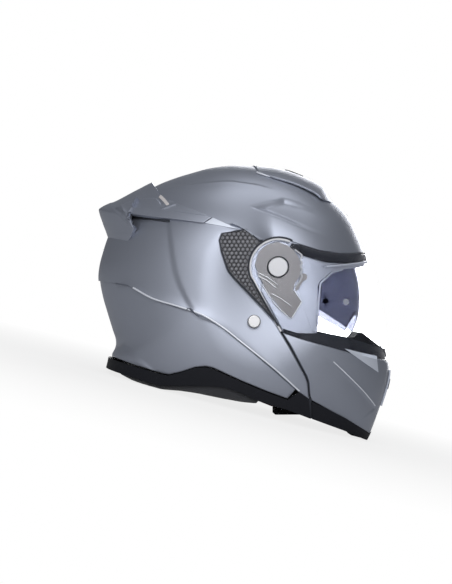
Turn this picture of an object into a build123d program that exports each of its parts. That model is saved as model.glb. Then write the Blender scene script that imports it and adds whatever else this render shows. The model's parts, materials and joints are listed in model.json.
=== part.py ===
from build123d import *
import math
import os

# A flip-up motorcycle helmet, standing on a table.
# Row frame: +X forward, +Y to the wearer's left, +Z up, origin under the middle of the whole helmet.
# The helmet is drawn in its worn attitude about the visor's hinge line, and the head plane tips it
# chin-up on to the table.

os.makedirs("parts", exist_ok=True)

# Overall sizes, millimetres
helmet_length = 346.0
helmet_half_width = 127.0
pivot_forward = 19.25
pivot_height = 166.3
standing_tip = 14.6
cut_reach = 400.0
roundness = 2.4
fit_gap = 0.3

# Walls and layers, counted inwards from the widest surface of the shell
shell_wall = 4.0
lower_panel_drop = 1.8
temple_drop = 10.8
frame_drop = 1.5
visor_drop = 3.0
visor_wall = 2.2
plate_wall = 2.0
arm_wall = 2.5
arm_face_drop = 7.8
plate_face_drop = 5.5
trim_stand = 0.6
trim_depth = 5.0
cover_stand = 1.0
cover_depth = 6.0
grille_wall = 2.5
grille_drop = 2.0
chin_liner_depth = 24.0
ear_flat_radius = 14.0

# Head space
cavity_half_width = 86.0
comfort_thickness = 8.0

# The view that the places below were read in
length_pixels = 293.0
picture_middle_pixels = (226.0, 292.0)
visor_pivot_pixels = (278.2, 266.9)
chin_hinge_pixels = (278.2, 252.0)
viewing_distance = 2200.0
viewing_turn = 3.0

pixel_size = helmet_length / length_pixels
head = Plane(
    origin=(pivot_forward, 0, pivot_height),
    x_dir=(math.cos(math.radians(standing_tip)), 0, math.sin(math.radians(standing_tip))),
    z_dir=(-math.sin(math.radians(standing_tip)), 0, math.cos(math.radians(standing_tip))),
)
side = Plane(origin=head.origin, x_dir=head.x_dir, z_dir=(0, -1, 0))


# Places read off the view

def raw_place(across, down, depth):
    """Side-view place of a point that lies depth nearer to the eye than the centre plane."""
    shrink = 1 - depth / viewing_distance
    forward = (across - picture_middle_pixels[0]) * pixel_size * shrink
    upward = (picture_middle_pixels[1] - down) * pixel_size * shrink
    return forward - depth * math.tan(math.radians(viewing_turn)), upward


pivot_place = raw_place(*visor_pivot_pixels, helmet_half_width - visor_drop)


def at_depth(across, down, depth):
    """Forward and up from the visor's hinge line for a point at a known depth."""
    forward, upward = raw_place(across, down, depth)
    return forward - pivot_place[0], upward - pivot_place[1]


def centre(across, down):
    """A place on the centre plane, as every silhouette point is."""
    return at_depth(across, down, 0)


def centre_all(pixels):
    """All the places of an outline on the centre plane."""
    return [centre(across, down) for across, down in pixels]


# Side profile of the shell and chin bar on the centre plane, front to top to rear to bottom
profile_pixels = [
    (364.8, 262), (362.6, 254), (355.6, 235), (345.6, 215), (330.5, 200.5), (315, 188.8), (300, 180.4),
    (283, 173.6), (268, 170), (252, 167), (235, 165.8), (220, 166.9), (205, 169.6), (190.5, 173.7),
    (172, 179.5), (155, 187), (140, 196.5), (127, 208), (116, 222), (108, 237), (103, 252), (99.4, 266),
    (98.3, 279), (101, 296), (105.8, 313), (111, 330), (114.5, 343), (111.5, 355), (104.5, 368),
    (98, 388), (100, 415), (120, 450), (160, 480), (215, 500), (270, 505), (320, 487), (349, 463),
    (366, 440), (372, 426), (377.5, 411), (382.5, 396), (387, 378), (388, 367), (386.3, 357.5),
    (381, 342), (376, 325), (371.5, 305), (368, 285),
]
# Side profile of the visor's outer face, closed round the helmet where no visor is
visor_profile_pixels = [
    (369.7, 260.8), (367, 254), (361, 234), (350, 213), (335, 195), (318, 182), (300, 172), (283, 166),
    (268, 162), (235, 158), (205, 161), (172, 171), (140, 188), (108, 220), (95, 252), (90, 279),
    (97, 313), (103, 343), (96, 368), (90, 388), (90, 415), (112, 456), (155, 489), (212, 509),
    (270, 514), (324, 495), (356, 468), (374, 440), (382, 411), (388, 385), (388.5, 365),
    (385.5, 350), (381.5, 318), (377, 292.2), (373, 275),
]
# Side profile of the rear spoiler's outer face, closed round the helmet inside the shell
spoiler_profile_pixels = [
    (345, 262), (330, 220), (290, 190), (268, 180), (235, 174), (205, 174), (190.5, 175), (172, 178.2),
    (153, 182.6), (136.8, 190), (117.9, 200), (98.6, 210.5), (101, 220), (107, 236), (114, 252),
    (116, 266), (118, 313), (125, 343), (120, 388), (140, 450), (215, 485), (320, 470), (356, 440),
    (370, 380), (360, 300),
]
# Side profile of the top air intake's outer face, closed round the helmet inside the shell
intake_profile_pixels = [
    (355, 262), (340, 226), (329, 204), (326.8, 198.9), (322.6, 190.8), (320.3, 187.3), (301, 177.2),
    (282, 170.8), (272, 169.6), (262, 171), (235, 173), (190, 185), (130, 220), (115, 279), (120, 343),
    (120, 388), (140, 450), (215, 485), (320, 470), (356, 440), (370, 380), (360, 300),
]

# Side profile of the head space, from the brow over the crown to the neck and chin
cavity_profile_pixels = [
    (327, 285), (325, 262), (313, 233), (290, 210), (262, 200.5), (234, 198), (205, 202), (175, 216),
    (153, 240), (143, 268), (142, 295), (147, 325), (156, 360), (164, 400), (172, 440), (200, 466),
    (250, 474), (310, 466), (345, 440), (354, 400), (352, 350), (340, 312),
]
cavity_middle_pixels = (234, 300)


def polar_table(pixels, middle=(0, 0)):
    """Angle and radius about a cross line of each profile point, in rising angle."""
    rows = []
    for across, down in pixels:
        place = centre(across, down)
        forward, upward = place[0] - middle[0], place[1] - middle[1]
        rows.append((math.degrees(math.atan2(upward, forward)) % 360, math.hypot(forward, upward)))
    return sorted(rows)


def radius_at(table, angle):
    """Smooth radius at an angle: cubic pieces with the slopes of their neighbours, closed round."""
    count = len(table)
    angle = angle % 360
    after = next((i for i in range(count) if table[i][0] > angle), 0)
    rows = [table[(after + step) % count] for step in (-2, -1, 0, 1)]
    turns = [(row[0] - angle) % 360 for row in rows]
    spots = [turns[0] - 360, turns[1] - 360 if turns[1] > 0 else 0, turns[2], turns[3]]
    values = [row[1] for row in rows]
    span = spots[2] - spots[1]
    part = -spots[1] / span
    slope_in = (values[2] - values[0]) / (spots[2] - spots[0]) * span
    slope_out = (values[3] - values[1]) / (spots[3] - spots[1]) * span
    square = part * part
    cube = square * part
    return (
        (2 * cube - 3 * square + 1) * values[1]
        + (cube - 2 * square + part) * slope_in
        + (3 * square - 2 * cube) * values[2]
        + (cube - square) * slope_out
    )


def ease(part):
    """Smooth step from 0 to 1."""
    part = min(max(part, 0), 1)
    return part * part * (3 - 2 * part)


shell_table = polar_table(profile_pixels)
visor_table = polar_table(visor_profile_pixels)
spoiler_table = polar_table(spoiler_profile_pixels)
intake_table = polar_table(intake_profile_pixels)
cavity_middle = centre(*cavity_middle_pixels)
cavity_table = polar_table(cavity_profile_pixels, cavity_middle)

# How far the temple stays drawn in, by angle about the hinge line: 1 is fully in, 0 is full width
temple_angles = [-50, -18, 95, 150]
ear_blend_share = 0.4


def temple_share_at(angle):
    """Share of the temple's draw-in at an angle."""
    angle = (angle + 90) % 360 - 90
    if angle <= temple_angles[0] or angle >= temple_angles[3]:
        return 0
    if angle < temple_angles[1]:
        return ease((angle - temple_angles[0]) / (temple_angles[1] - temple_angles[0]))
    if angle <= temple_angles[2]:
        return 1
    return 1 - ease((angle - temple_angles[2]) / (temple_angles[3] - temple_angles[2]))


def shell_drop_at(angle, share):
    """How far the shell's side is drawn in: the temples, and the flat round the hinge line."""
    near_ear = 1 - ease(share / ear_blend_share)
    return temple_drop * max(temple_share_at(angle), near_ear)


def no_drop_at(angle, share):
    """A form of even width."""
    return 0


def half_breadth(forward, upward):
    """Half width of the shell's form at a side-view place, without the dish."""
    radius = math.hypot(forward, upward)
    angle = math.degrees(math.atan2(upward, forward))
    reach = (radius - ear_flat_radius) / (radius_at(shell_table, angle) - ear_flat_radius)
    if reach >= 1:
        return 0
    width = helmet_half_width - temple_drop * temple_share_at(angle)
    return width * (1 - max(reach, 0) ** roundness) ** (1 / roundness)


depth_guesses = 8


def near(across, down):
    """A place on the side of the helmet that faces the eye, moved back for its own depth."""
    depth = 0
    for _ in range(depth_guesses):
        found = half_breadth(*at_depth(across, down, depth))
        depth = (depth + found) / 2
    return at_depth(across, down, depth)


def near_all(pixels):
    """All the places of an outline on the near side."""
    return [near(across, down) for across, down in pixels]


ring_points = 36
rings_per_side = 7


def form(table, width, inset=0.0, drop_at=no_drop_at, middle=(0, 0)):
    """
    Closed solid whose rings run round a cross line, the hinge line by default, from ear to ear.
    On each ring the radius is a share of the profile's and the half width follows
    width * (1 - share ** roundness) ** (1 / roundness).
    """
    rings = []
    for step in range(-rings_per_side, rings_per_side + 1):
        share = math.sin((1 - abs(step) / rings_per_side) * math.pi / 2)
        rise = max(0, 1 - share**roundness) ** (1 / roundness)
        points = []
        for number in range(ring_points):
            angle = 360 * number / ring_points - 90
            outer = radius_at(table, angle) - inset
            radius = ear_flat_radius + (outer - ear_flat_radius) * share
            breadth = (width - inset - drop_at(angle, share)) * rise
            place = Vector(
                middle[0] + radius * math.cos(math.radians(angle)),
                math.copysign(breadth, step) if step else 0,
                middle[1] + radius * math.sin(math.radians(angle)),
            )
            points.append(head.from_local_coords(place))
        rings.append(Wire([Edge.make_spline(points, periodic=True)]))
    return Solid.make_loft(rings)


def shell_form(inset):
    """The shell's outer form drawn in by an inset."""
    return form(shell_table, helmet_half_width, inset, shell_drop_at)


def cavity_breadth(forward, upward):
    """Half width of the head space at a side-view place."""
    forward, upward = forward - cavity_middle[0], upward - cavity_middle[1]
    angle = math.degrees(math.atan2(upward, forward))
    span = radius_at(cavity_table, angle) - ear_flat_radius
    reach = (math.hypot(forward, upward) - ear_flat_radius) / span
    return cavity_half_width * (1 - max(reach, 0) ** roundness) ** (1 / roundness)


def head_space(inset):
    """The room for the head, drawn in by an inset."""
    return form(cavity_table, cavity_half_width, inset, no_drop_at, cavity_middle)


def side_block(outline, low=-cut_reach, high=cut_reach):
    """Solid behind an outline seen from the side, between two widths."""
    with BuildPart(mode=Mode.PRIVATE) as block:
        with BuildSketch(side.offset(-high)):
            with BuildLine():
                Polyline(*outline, close=True)
            make_face()
        extrude(amount=high - low)
    return block.part


def layer(outer_solid, inner_solid, block):
    """The part of the wall between two forms that lies in a block."""
    with BuildPart(mode=Mode.PRIVATE) as wall:
        add(block)
        add(outer_solid, mode=Mode.INTERSECT)
        add(inner_solid, mode=Mode.SUBTRACT)
    return wall.part


def cross_rod(place, radius, low, high):
    """Round bar along the width of the helmet, centred on a side-view place, between two widths."""
    with BuildPart(mode=Mode.PRIVATE) as rod:
        with BuildSketch(side.offset(-high)):
            with Locations(place):
                Circle(radius)
        extrude(amount=high - low)
    return rod.part


def rods_both_sides(place, radius, low, high):
    """The same round bar at the right and at the left."""
    return [cross_rod(place, radius, -high, -low), cross_rod(place, radius, low, high)]


def upright_box(across, down, low, high, length, height):
    """Box that stands on a side-view place in the worn attitude, between two widths."""
    forward, upward = centre(across, down)
    spot = head.from_local_coords(Vector(forward, 0, upward))
    foot = Plane(origin=spot, x_dir=head.x_dir, z_dir=head.z_dir)
    with BuildPart(mode=Mode.PRIVATE) as box:
        with BuildSketch(foot):
            with Locations((0, (low + high) / 2)):
                Rectangle(length, high - low)
        extrude(amount=height)
    return box.part


def one_side(solid, sign):
    """The solids of a piece that lie at the left (1) or at the right (-1)."""
    return [body for body in solid.solids() if body.center().Y * sign > 0]


def finish(builder, name):
    """Label a finished piece and write it."""
    builder.part.label = name
    export_step(builder.part, f"parts/{name}.step")
    print(name, round(builder.part.volume), len(builder.part.solids()))


# Lines that neighbouring pieces share, seen from the near side
beyond_pixels = 60.0
left_pixels = 98.3 - beyond_pixels
right_pixels = 391.0 + beyond_pixels
top_pixels = 165.8 - beyond_pixels
bottom_pixels = 439.0 + beyond_pixels
view_top = centre_all([(right_pixels, top_pixels), (left_pixels, top_pixels)])
brow_edge_pixels = [(364, 252.7), (352, 253.4), (340, 253.7), (320, 250.7), (300, 244.4), (289, 240.6)]
parting_pixels = [(281, 331), (290, 346.7), (306, 376.6), (308.3, 383), (309.5, 396.6), (311.5, 419.3)]
chin_edge_pixels = [(311.9, 400.5), (310.6, 396.4), (309.4, 382.8), (307, 376.1), (291, 346.2), (283, 332.6)]
chin_top_pixels = [(300, 338), (315, 342), (345, 349)]
trim_top_pixels = [
    (95, 351), (109.9, 357.1), (135, 366.5), (161.3, 374.5), (168, 375.7), (180, 373), (194.5, 368.3),
    (205.3, 367.4), (212.4, 368.9), (241.5, 382.2), (265, 392), (287.9, 400.4),
]
trim_foot_pixels = [
    (287.9, 410.4), (258, 401.3), (240, 392.5), (224.9, 387.2), (207, 385.7), (159.7, 385.3), (130, 376.5),
    (105, 366.6), (90, 360),
]
liner_foot_pixels = [
    (95, 349), (109.9, 355.1), (135, 364.5), (161.3, 372.5), (168, 373.5), (194.5, 366.3), (205.3, 365.4),
    (212.4, 366.9), (241.5, 380), (265, 389), (287, 389), (298, 386), (306, 378),
]
crease_pixels = [
    (88, 279), (100, 281), (128, 285), (153, 299), (173.8, 305.7), (194.5, 312.3), (206.9, 318.1),
    (224.4, 329.7), (241.5, 343.2), (274.6, 369.8), (299.5, 392.1), (306, 398),
]
cover_pixels = [(287.9, 400.4), (298.7, 392.6), (308.6, 398.8), (310.9, 419.3), (287.9, 410.4)]
eyeport_pixels = [(318.5, 349), (318.5, 286), (320.5, 281.5), (332.2, 271.6), (345, 269), (357.6, 267.8)]
grille_pixels = [
    (262, 306), (233, 276), (229, 271), (222, 252), (219.5, 240), (222, 233), (246, 229.5), (259, 240.5),
    (275.2, 321), (252.6, 279.2),
]
grille_inner_pixels = [
    (273.6, 319), (262, 303.8), (234, 275.3), (230.2, 270.5), (223, 251.8), (220.6, 240.2), (222.8, 234),
    (245.6, 230.6), (258, 241), (252.2, 280),
]
seal_top_pixels = [(318.5, 331.8), (346.9, 337.1)]
plate_pixels = [
    (258.5, 274), (255.6, 264), (259, 252), (267, 244.6), (278, 241.8), (288, 245.4), (294, 251), (299, 258),
    (300.7, 266), (299.6, 276), (295.5, 283), (294, 290), (302, 302), (292, 318), (284, 312), (268, 292),
]
arm_pixels = [
    (289.4, 248), (294, 262), (295, 278), (302, 300), (316.5, 340), (322, 346), (323, 354), (300, 350),
    (290.4, 344.4), (284, 333.2), (277.2, 320.5), (262, 292), (266.6, 250),
]
chin_trim_pixels = [(312.4, 402), (345.8, 418.6)]
neck_roll_pixels = [
    (108, 360), (114.9, 371.2), (131.5, 380.7), (158, 389.6), (177.9, 391), (200, 394.4), (241.5, 402.9),
    (258, 404.2), (262, 397), (240, 384), (214, 374), (190, 374), (168, 379), (135, 370),
]

# Round end of the visor and the bay that it lies in
visor_end_radius = 33.0
bay_gap = 0.7

brow_middle_pixels = [(right_pixels, 255)]
bay_top_pixels = [(281, 239.5), (262, 245), (252.6, 279.2), (275.2, 321)]
parting_foot_pixels = [(311.5, bottom_pixels), (right_pixels, bottom_pixels)]
front_line = centre_all(brow_middle_pixels) + near_all(brow_edge_pixels + bay_top_pixels + parting_pixels)
front_zone = front_line + centre_all(parting_foot_pixels)

# The eyeport's frame ends at the first point of the parting line
frame_corner_pixels = [(290.2, 346)]
lip_front_pixels = [(365.6, 265.5), (right_pixels, 262)]
frame_line = front_line[:1 - len(parting_pixels)]
frame_zone = frame_line + near_all(frame_corner_pixels + eyeport_pixels) + centre_all(lip_front_pixels)

shell_corner_pixels = [(298.7, 392.6), (308.6, 398.8), (311.5, 402)]
shell_front_pixels = [(371.5, 402)]
shell_back_pixels = [(left_pixels, 340)]
foot_line = near_all(trim_top_pixels + shell_corner_pixels)
shell_zone = foot_line + centre_all(shell_front_pixels) + view_top + centre_all(shell_back_pixels)
trim_zone = near_all(trim_top_pixels + trim_foot_pixels)

crease_far_pixels = [(306, bottom_pixels), (left_pixels, bottom_pixels), (left_pixels, 279)]
below_crease = near_all(crease_pixels) + centre_all(crease_far_pixels)

chin_rear_pixels = [(345.8, 418.2)]
chin_front_pixels = [(377.7, 356), (right_pixels, 357), (right_pixels, 433.4), (366.2, 430.8)]
chin_zone = near_all(chin_rear_pixels + chin_edge_pixels + chin_top_pixels) + centre_all(chin_front_pixels)

visor_top_pixels = [(362, 253.7), (340, 254.9), (320, 251.9), (300, 245.6), (286, 240.8), (262, 246)]
visor_foot_pixels = [(253.6, 278.6), (276, 320.4), (281.8, 330.4), (300, 336.4), (315, 340.4), (345, 347.4)]
visor_brow_pixels = [(right_pixels, 253.5)]
visor_chin_pixels = [(377.7, 354.6), (right_pixels, 355.2)]
visor_side = near_all(visor_top_pixels + visor_foot_pixels)
visor_zone = centre_all(visor_brow_pixels) + visor_side + centre_all(visor_chin_pixels)

seal_front_pixels = [(384, 349.5), (right_pixels, 350), (right_pixels, 356.6), (377.7, 355.7)]
seal_foot_pixels = [(345, 348.3), (320.5, 342.3)]
visor_seal_zone = near_all(seal_top_pixels) + centre_all(seal_front_pixels) + near_all(seal_foot_pixels)

chin_trim_front_pixels = [(366.2, 431.2), (right_pixels, 433.8), (right_pixels, 462), (365.8, 439.4)]
chin_trim_foot_pixels = [(345, 431.4), (312.6, 419.5)]
chin_trim_front = centre_all(chin_trim_front_pixels)
chin_trim_zone = near_all(chin_trim_pixels) + chin_trim_front + near_all(chin_trim_foot_pixels)

chin_liner_top_pixels = [(324, 358), (345, 364)]
chin_liner_front_pixels = [(380, 370), (right_pixels, 372), (right_pixels, 424), (364, 420.6)]
chin_liner_rear_pixels = [(345, 410), (330, 403), (329, 387)]
chin_liner_zone = (
    near_all(chin_liner_top_pixels) + centre_all(chin_liner_front_pixels) + near_all(chin_liner_rear_pixels)
)

liner_jaw_pixels = [(305, 378), (288.6, 347), (317, 347)]
liner_back_pixels = [(left_pixels, 345)]
liner_zone = (
    near_all(liner_foot_pixels + liner_jaw_pixels + eyeport_pixels[1:])
    + centre_all(lip_front_pixels) + view_top + centre_all(liner_back_pixels)
)
cheek_pixels = [
    (240, 305), (256, 292), (284, 290), (306, 297), (314, 318), (313, 352), (304, 384), (296, 393),
    (268, 394), (248, 382), (240, 350),
]

# Forms that several pieces are cut from
frame_width = helmet_half_width - temple_drop
arm_width = helmet_half_width - arm_face_drop
plate_width = helmet_half_width - plate_face_drop
visor_width = helmet_half_width - visor_drop
shell_outer = shell_form(0)
shell_inner = shell_form(shell_wall)
liner_outer = shell_form(shell_wall + fit_gap)
trim_outer = shell_form(-trim_stand)
trim_inner = shell_form(trim_depth)
frame_outer = form(shell_table, frame_width, frame_drop)
frame_inner = form(shell_table, frame_width, frame_drop + shell_wall)
frame_bed = form(shell_table, frame_width, frame_drop + shell_wall + fit_gap)
arm_outer = form(shell_table, arm_width)
arm_inner = form(shell_table, arm_width, arm_wall)
visor_outer = form(visor_table, visor_width)
visor_inner = form(visor_table, visor_width, visor_wall)
cavity = head_space(0)
with BuildPart() as floor:
    Box(cut_reach, cut_reach, cut_reach, align=(Align.CENTER, Align.CENTER, Align.MAX))
floor_block = floor.part
bay_round = cross_rod((0, 0), visor_end_radius + bay_gap, -cut_reach, cut_reach)
front_block = side_block(front_zone) + bay_round

# Chrome dome rivets of the strap, whose shanks go through shell and foam
rivet_pixels = (254.2, 321.5)
rivet_head_radius = 7.35
rivet_head_rise = 2.6
rivet_shank_radius = 2.5
rivet_place = near(*rivet_pixels)

# Outer shell: one moulding, open at the face and the neck, with its lower panels a step further in
grille_bay = side_block(near_all(grille_pixels))
open_block = side_block(shell_zone) - front_block - grille_bay
panel_step = side_block(below_crease) - shell_form(lower_panel_drop)
with BuildPart() as outer_shell:
    add(shell_outer - shell_inner)
    add(open_block, mode=Mode.INTERSECT)
    add(panel_step, mode=Mode.SUBTRACT)
    add(cross_rod(rivet_place, rivet_shank_radius, -cut_reach, cut_reach), mode=Mode.SUBTRACT)
finish(outer_shell, "outer_shell")

# Frame of the eyeport: the recessed side of the moulding that the visor and the chin arms pass over
hinge_place = near(*chin_hinge_pixels)
hinge_pin_radius = 5.0
hinge_collar_radius = 7.5
frame_rear_pixels = [(left_pixels, top_pixels), (281, top_pixels), (281, 330), (left_pixels, 330)]
frame_round = bay_round & side_block(centre_all(frame_rear_pixels))
frame_block = side_block(frame_zone) + frame_round
with BuildPart() as eyeport_frame:
    add(layer(frame_outer, frame_inner, frame_block))
    add(cross_rod(hinge_place, hinge_pin_radius, -cut_reach, cut_reach), mode=Mode.SUBTRACT)
finish(eyeport_frame, "eyeport_frame")

# Stepped pins that the chin arms turn on, one at each ear
hinge_pin_start = frame_width - frame_drop - shell_wall + fit_gap
hinge_pin_end = arm_width - fit_gap
hinge_collar_start = frame_width - frame_drop + fit_gap
hinge_collar_end = arm_width - arm_wall - fit_gap
with BuildPart() as hinge_pins:
    add(rods_both_sides(hinge_place, hinge_pin_radius, hinge_pin_start, hinge_pin_end))
    add(rods_both_sides(hinge_place, hinge_collar_radius, hinge_collar_start, hinge_collar_end))
finish(hinge_pins, "hinge_pins")

# Rubber band above the eyeport that the visor closes on
band_stand = 1.2
band_gap = 0.3
band_rear_pixels = [(292, 243), (290, 247), (300, 254.7), (326.8, 262.1), (346.9, 263.4)]
band_block = side_block(near_all(brow_edge_pixels[1:-1] + band_rear_pixels))
band_outer = form(shell_table, frame_width, frame_drop - band_stand)
band_inner = form(shell_table, frame_width, frame_drop - band_gap)
with BuildPart() as eyeport_seal:
    add(layer(band_outer, band_inner, band_block))
finish(eyeport_seal, "eyeport_seal")

# Sun visor: a tinted shield, round in side view, that swings up between the liner and the shell
sun_hinge_pixels = (258.6, 298)
sun_hinge_depth = 93.0
sun_radius = 120.3
sun_half_width = 93.0
sun_wall = 2.2
sun_pocket_gap = 2.5
sun_arm_half_height = 8.0
sun_pin_radius = 3.0
sun_hinge = centre(*sun_hinge_pixels)
sun_table_step = 15
sun_table = [(angle, sun_radius) for angle in range(0, 360, sun_table_step)]
sun_lens_places = [
    (314, 258, 80), (345, 256, 30), (370, 256, 0), (370, 300, 0), (359.3, 313, 10), (352.2, 332.4, 29),
    (318.8, 309.5, 80),
]
sun_front = at_depth(*sun_lens_places[-1])
sun_lens_zone = [at_depth(*place) for place in sun_lens_places]
sun_arm_zone = [
    (sun_front[0] + sun_arm_half_height, sun_front[1] + 4 * sun_arm_half_height),
    (sun_front[0] + sun_arm_half_height, sun_front[1] + sun_arm_half_height / 4),
    (sun_hinge[0], sun_hinge[1] - sun_arm_half_height),
    (sun_hinge[0], sun_hinge[1] + sun_arm_half_height),
]


def sun_form(inset):
    """The sun visor's outer form drawn in by an inset."""
    return form(sun_table, sun_half_width, inset, no_drop_at, sun_hinge)


sun_block = side_block(sun_lens_zone) + side_block(sun_arm_zone)
sun_block += cross_rod(sun_hinge, sun_arm_half_height, -cut_reach, cut_reach)
with BuildPart() as sun_visor:
    add(layer(sun_form(0), sun_form(sun_wall), sun_block))
    add(cross_rod(sun_hinge, sun_pin_radius + fit_gap, -cut_reach, cut_reach), mode=Mode.SUBTRACT)
finish(sun_visor, "sun_visor")

# Moulded foam liner, with the head space, the pocket of the sun visor and the rivet bores
pocket_front_pixels = [(318, 240), (318, 350), (right_pixels, 350), (right_pixels, 196), (338, 196)]
pocket_front = side_block(centre_all(pocket_front_pixels))
slot_turn_up = 72.0
slot_turn_down = 32.0
slot_reach = 150.0
slot_zone = [
    (sun_hinge[0] - sun_arm_half_height - sun_pocket_gap, sun_hinge[1]),
    (sun_hinge[0], sun_hinge[1] - sun_arm_half_height - sun_pocket_gap),
    (sun_hinge[0] + slot_reach, sun_hinge[1] - slot_reach * math.sin(math.radians(slot_turn_down))),
    (sun_hinge[0] + slot_reach, sun_hinge[1] + slot_reach),
    (sun_hinge[0] + slot_reach * math.cos(math.radians(slot_turn_up)), sun_hinge[1] + slot_reach),
]
slot_round = cross_rod(sun_hinge, sun_arm_half_height + sun_pocket_gap, -cut_reach, cut_reach)
slot_block = side_block(slot_zone) + slot_round
sun_clear_outer = sun_form(-sun_pocket_gap)
sun_clear_inner = sun_form(sun_wall + sun_pocket_gap)
with BuildPart() as impact_liner:
    add(layer(liner_outer, cavity, side_block(liner_zone)))
    add(front_block - frame_bed, mode=Mode.SUBTRACT)
    add(pocket_front - sun_clear_inner, mode=Mode.SUBTRACT)
    add(layer(sun_clear_outer, sun_clear_inner, slot_block), mode=Mode.SUBTRACT)
    add(cross_rod(rivet_place, rivet_shank_radius, -cut_reach, cut_reach), mode=Mode.SUBTRACT)
finish(impact_liner, "impact_liner")

# Pins of the sun visor, set in the foam on both sides of its slot
sun_pin_start = sun_half_width - sun_wall - sun_pocket_gap
sun_pin_end = sun_half_width + sun_pocket_gap
with BuildPart() as sun_visor_pins:
    add(rods_both_sides(sun_hinge, sun_pin_radius, sun_pin_start, sun_pin_end))
finish(sun_visor_pins, "sun_visor_pins")

# Chrome dome rivets that hold the strap, with their shanks through shell and foam
rivet_seat = half_breadth(*rivet_place)
shell_seat = shell_form(-fit_gap / 2)
rivet_root = rivet_seat - shell_wall / 2
rivet_inner_half_width = 85.7
with BuildPart() as strap_rivets:
    add(rods_both_sides(rivet_place, rivet_head_radius, rivet_root, rivet_seat + rivet_head_rise))
    add(shell_seat, mode=Mode.SUBTRACT)
    fillet(strap_rivets.edges().filter_by(GeomType.CIRCLE).group_by(Axis.Y)[0], rivet_head_rise / 2)
    add(rods_both_sides(rivet_place, rivet_shank_radius, rivet_inner_half_width, rivet_seat + fit_gap))
finish(strap_rivets, "strap_rivets")

# Comfort lining
pad_outer = head_space(fit_gap)
crown_pad_pixels = [(139, 276), (139, 190), (322, 190), (322, 268), (300, 262), (240, 262), (190, 276)]
with BuildPart() as crown_pad:
    add(layer(pad_outer, head_space(comfort_thickness), side_block(centre_all(crown_pad_pixels))))
finish(crown_pad, "crown_pad")

strap_room = 2.5
cheek_thickness = 24.0
cheek_inner = head_space(strap_room + cheek_thickness)
cheek_layer = layer(head_space(strap_room), cheek_inner, side_block(near_all(cheek_pixels)))
for sign, name in ((-1, "cheek_pad_right"), (1, "cheek_pad_left")):
    with BuildPart() as cheek_pad:
        add(one_side(cheek_layer, sign))
    finish(cheek_pad, name)

roll_inset = trim_depth + fit_gap
with BuildPart() as neck_roll:
    add(layer(shell_form(roll_inset), cavity, side_block(near_all(neck_roll_pixels))))
    add(floor_block, mode=Mode.SUBTRACT)
finish(neck_roll, "neck_roll")

# Black edge trim round the lower edge of the shell, and the blocks that hide the latches
with BuildPart() as base_trim:
    add(layer(trim_outer, trim_inner, side_block(trim_zone)))
finish(base_trim, "base_trim")

striker_pixels = (303, 404)
striker_radius = 2.5
striker_start = 90.0
striker_place = near(*striker_pixels)
striker_end = half_breadth(*striker_place) - cover_depth
cover_block = side_block(near_all(cover_pixels))
cover_layer = layer(shell_form(-cover_stand), shell_form(cover_depth), cover_block)
for sign, name in ((-1, "latch_cover_right"), (1, "latch_cover_left")):
    with BuildPart() as latch_cover:
        add(one_side(cover_layer, sign))
    finish(latch_cover, name)

with BuildPart() as striker_pins:
    add(rods_both_sides(striker_place, striker_radius, striker_start, striker_end))
    add(cover_layer, mode=Mode.SUBTRACT)
finish(striker_pins, "striker_pins")

# Black slatted grilles behind the visor
grille_width = helmet_half_width - grille_drop
grille_outer = form(shell_table, grille_width)
grille_inner = form(shell_table, grille_width, grille_wall)
grille_layer = layer(grille_outer, grille_inner, side_block(near_all(grille_inner_pixels)) - bay_round)
for sign, name in ((-1, "side_grille_right"), (1, "side_grille_left")):
    with BuildPart() as side_grille:
        add(one_side(grille_layer, sign))
    finish(side_grille, name)

# Rear spoiler, a shell standing on the back of the crown
spoiler_stand = 2.0
spoiler_pixels = [
    (84, 236), (107, 238), (128.2, 213.4), (168.8, 218.4), (202.8, 222.6), (211.1, 217.6), (206, 214.3),
    (176.3, 203.1), (160, 192), (154, 183),
]
spoiler_top_pixels = [(154, 170), (84, 170)]
spoiler_zone = near_all(spoiler_pixels) + centre_all(spoiler_top_pixels)
spoiler_outer = form(spoiler_table, helmet_half_width + spoiler_stand)
with BuildPart() as rear_spoiler:
    add(layer(spoiler_outer, shell_seat, side_block(spoiler_zone)))
finish(rear_spoiler, "rear_spoiler")

# Top air intake and its slider
intake_half_width = 34.0
intake_slider_half_width = 13.0
slider_rise = 2.2
slider_gap = 0.3
intake_pixels = [(274, 150), (274, 200), (334, 230), (350, 190), (320, 150)]
intake_slider_pixels = [(286, 150), (284, 190), (298, 196), (306, 160)]
intake_block = side_block(centre_all(intake_pixels), -intake_half_width, intake_half_width)
intake_slider_block = side_block(
    centre_all(intake_slider_pixels), -intake_slider_half_width, intake_slider_half_width
)
slider_outer = form(intake_table, helmet_half_width, -slider_rise)
slider_inner = form(intake_table, helmet_half_width, -slider_gap)
with BuildPart() as top_vent_housing:
    add(layer(form(intake_table, helmet_half_width), shell_seat, intake_block))
finish(top_vent_housing, "top_vent_housing")
with BuildPart() as top_vent_slider:
    add(layer(slider_outer, slider_inner, intake_slider_block))
finish(top_vent_slider, "top_vent_slider")

# Slider of the sun visor on the left lower edge
sun_slider_rise = 3.4
sun_slider_pixels = [(222, 376.5), (236, 382.6), (234.5, 386.5), (220.5, 380.6)]
sun_slider_outer = shell_form(-sun_slider_rise)
sun_slider_inner = shell_form(-trim_stand - fit_gap)
sun_slider_block = side_block(near_all(sun_slider_pixels))
with BuildPart() as sun_slider:
    add(one_side(layer(sun_slider_outer, sun_slider_inner, sun_slider_block), 1))
finish(sun_slider, "sun_slider")

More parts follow.
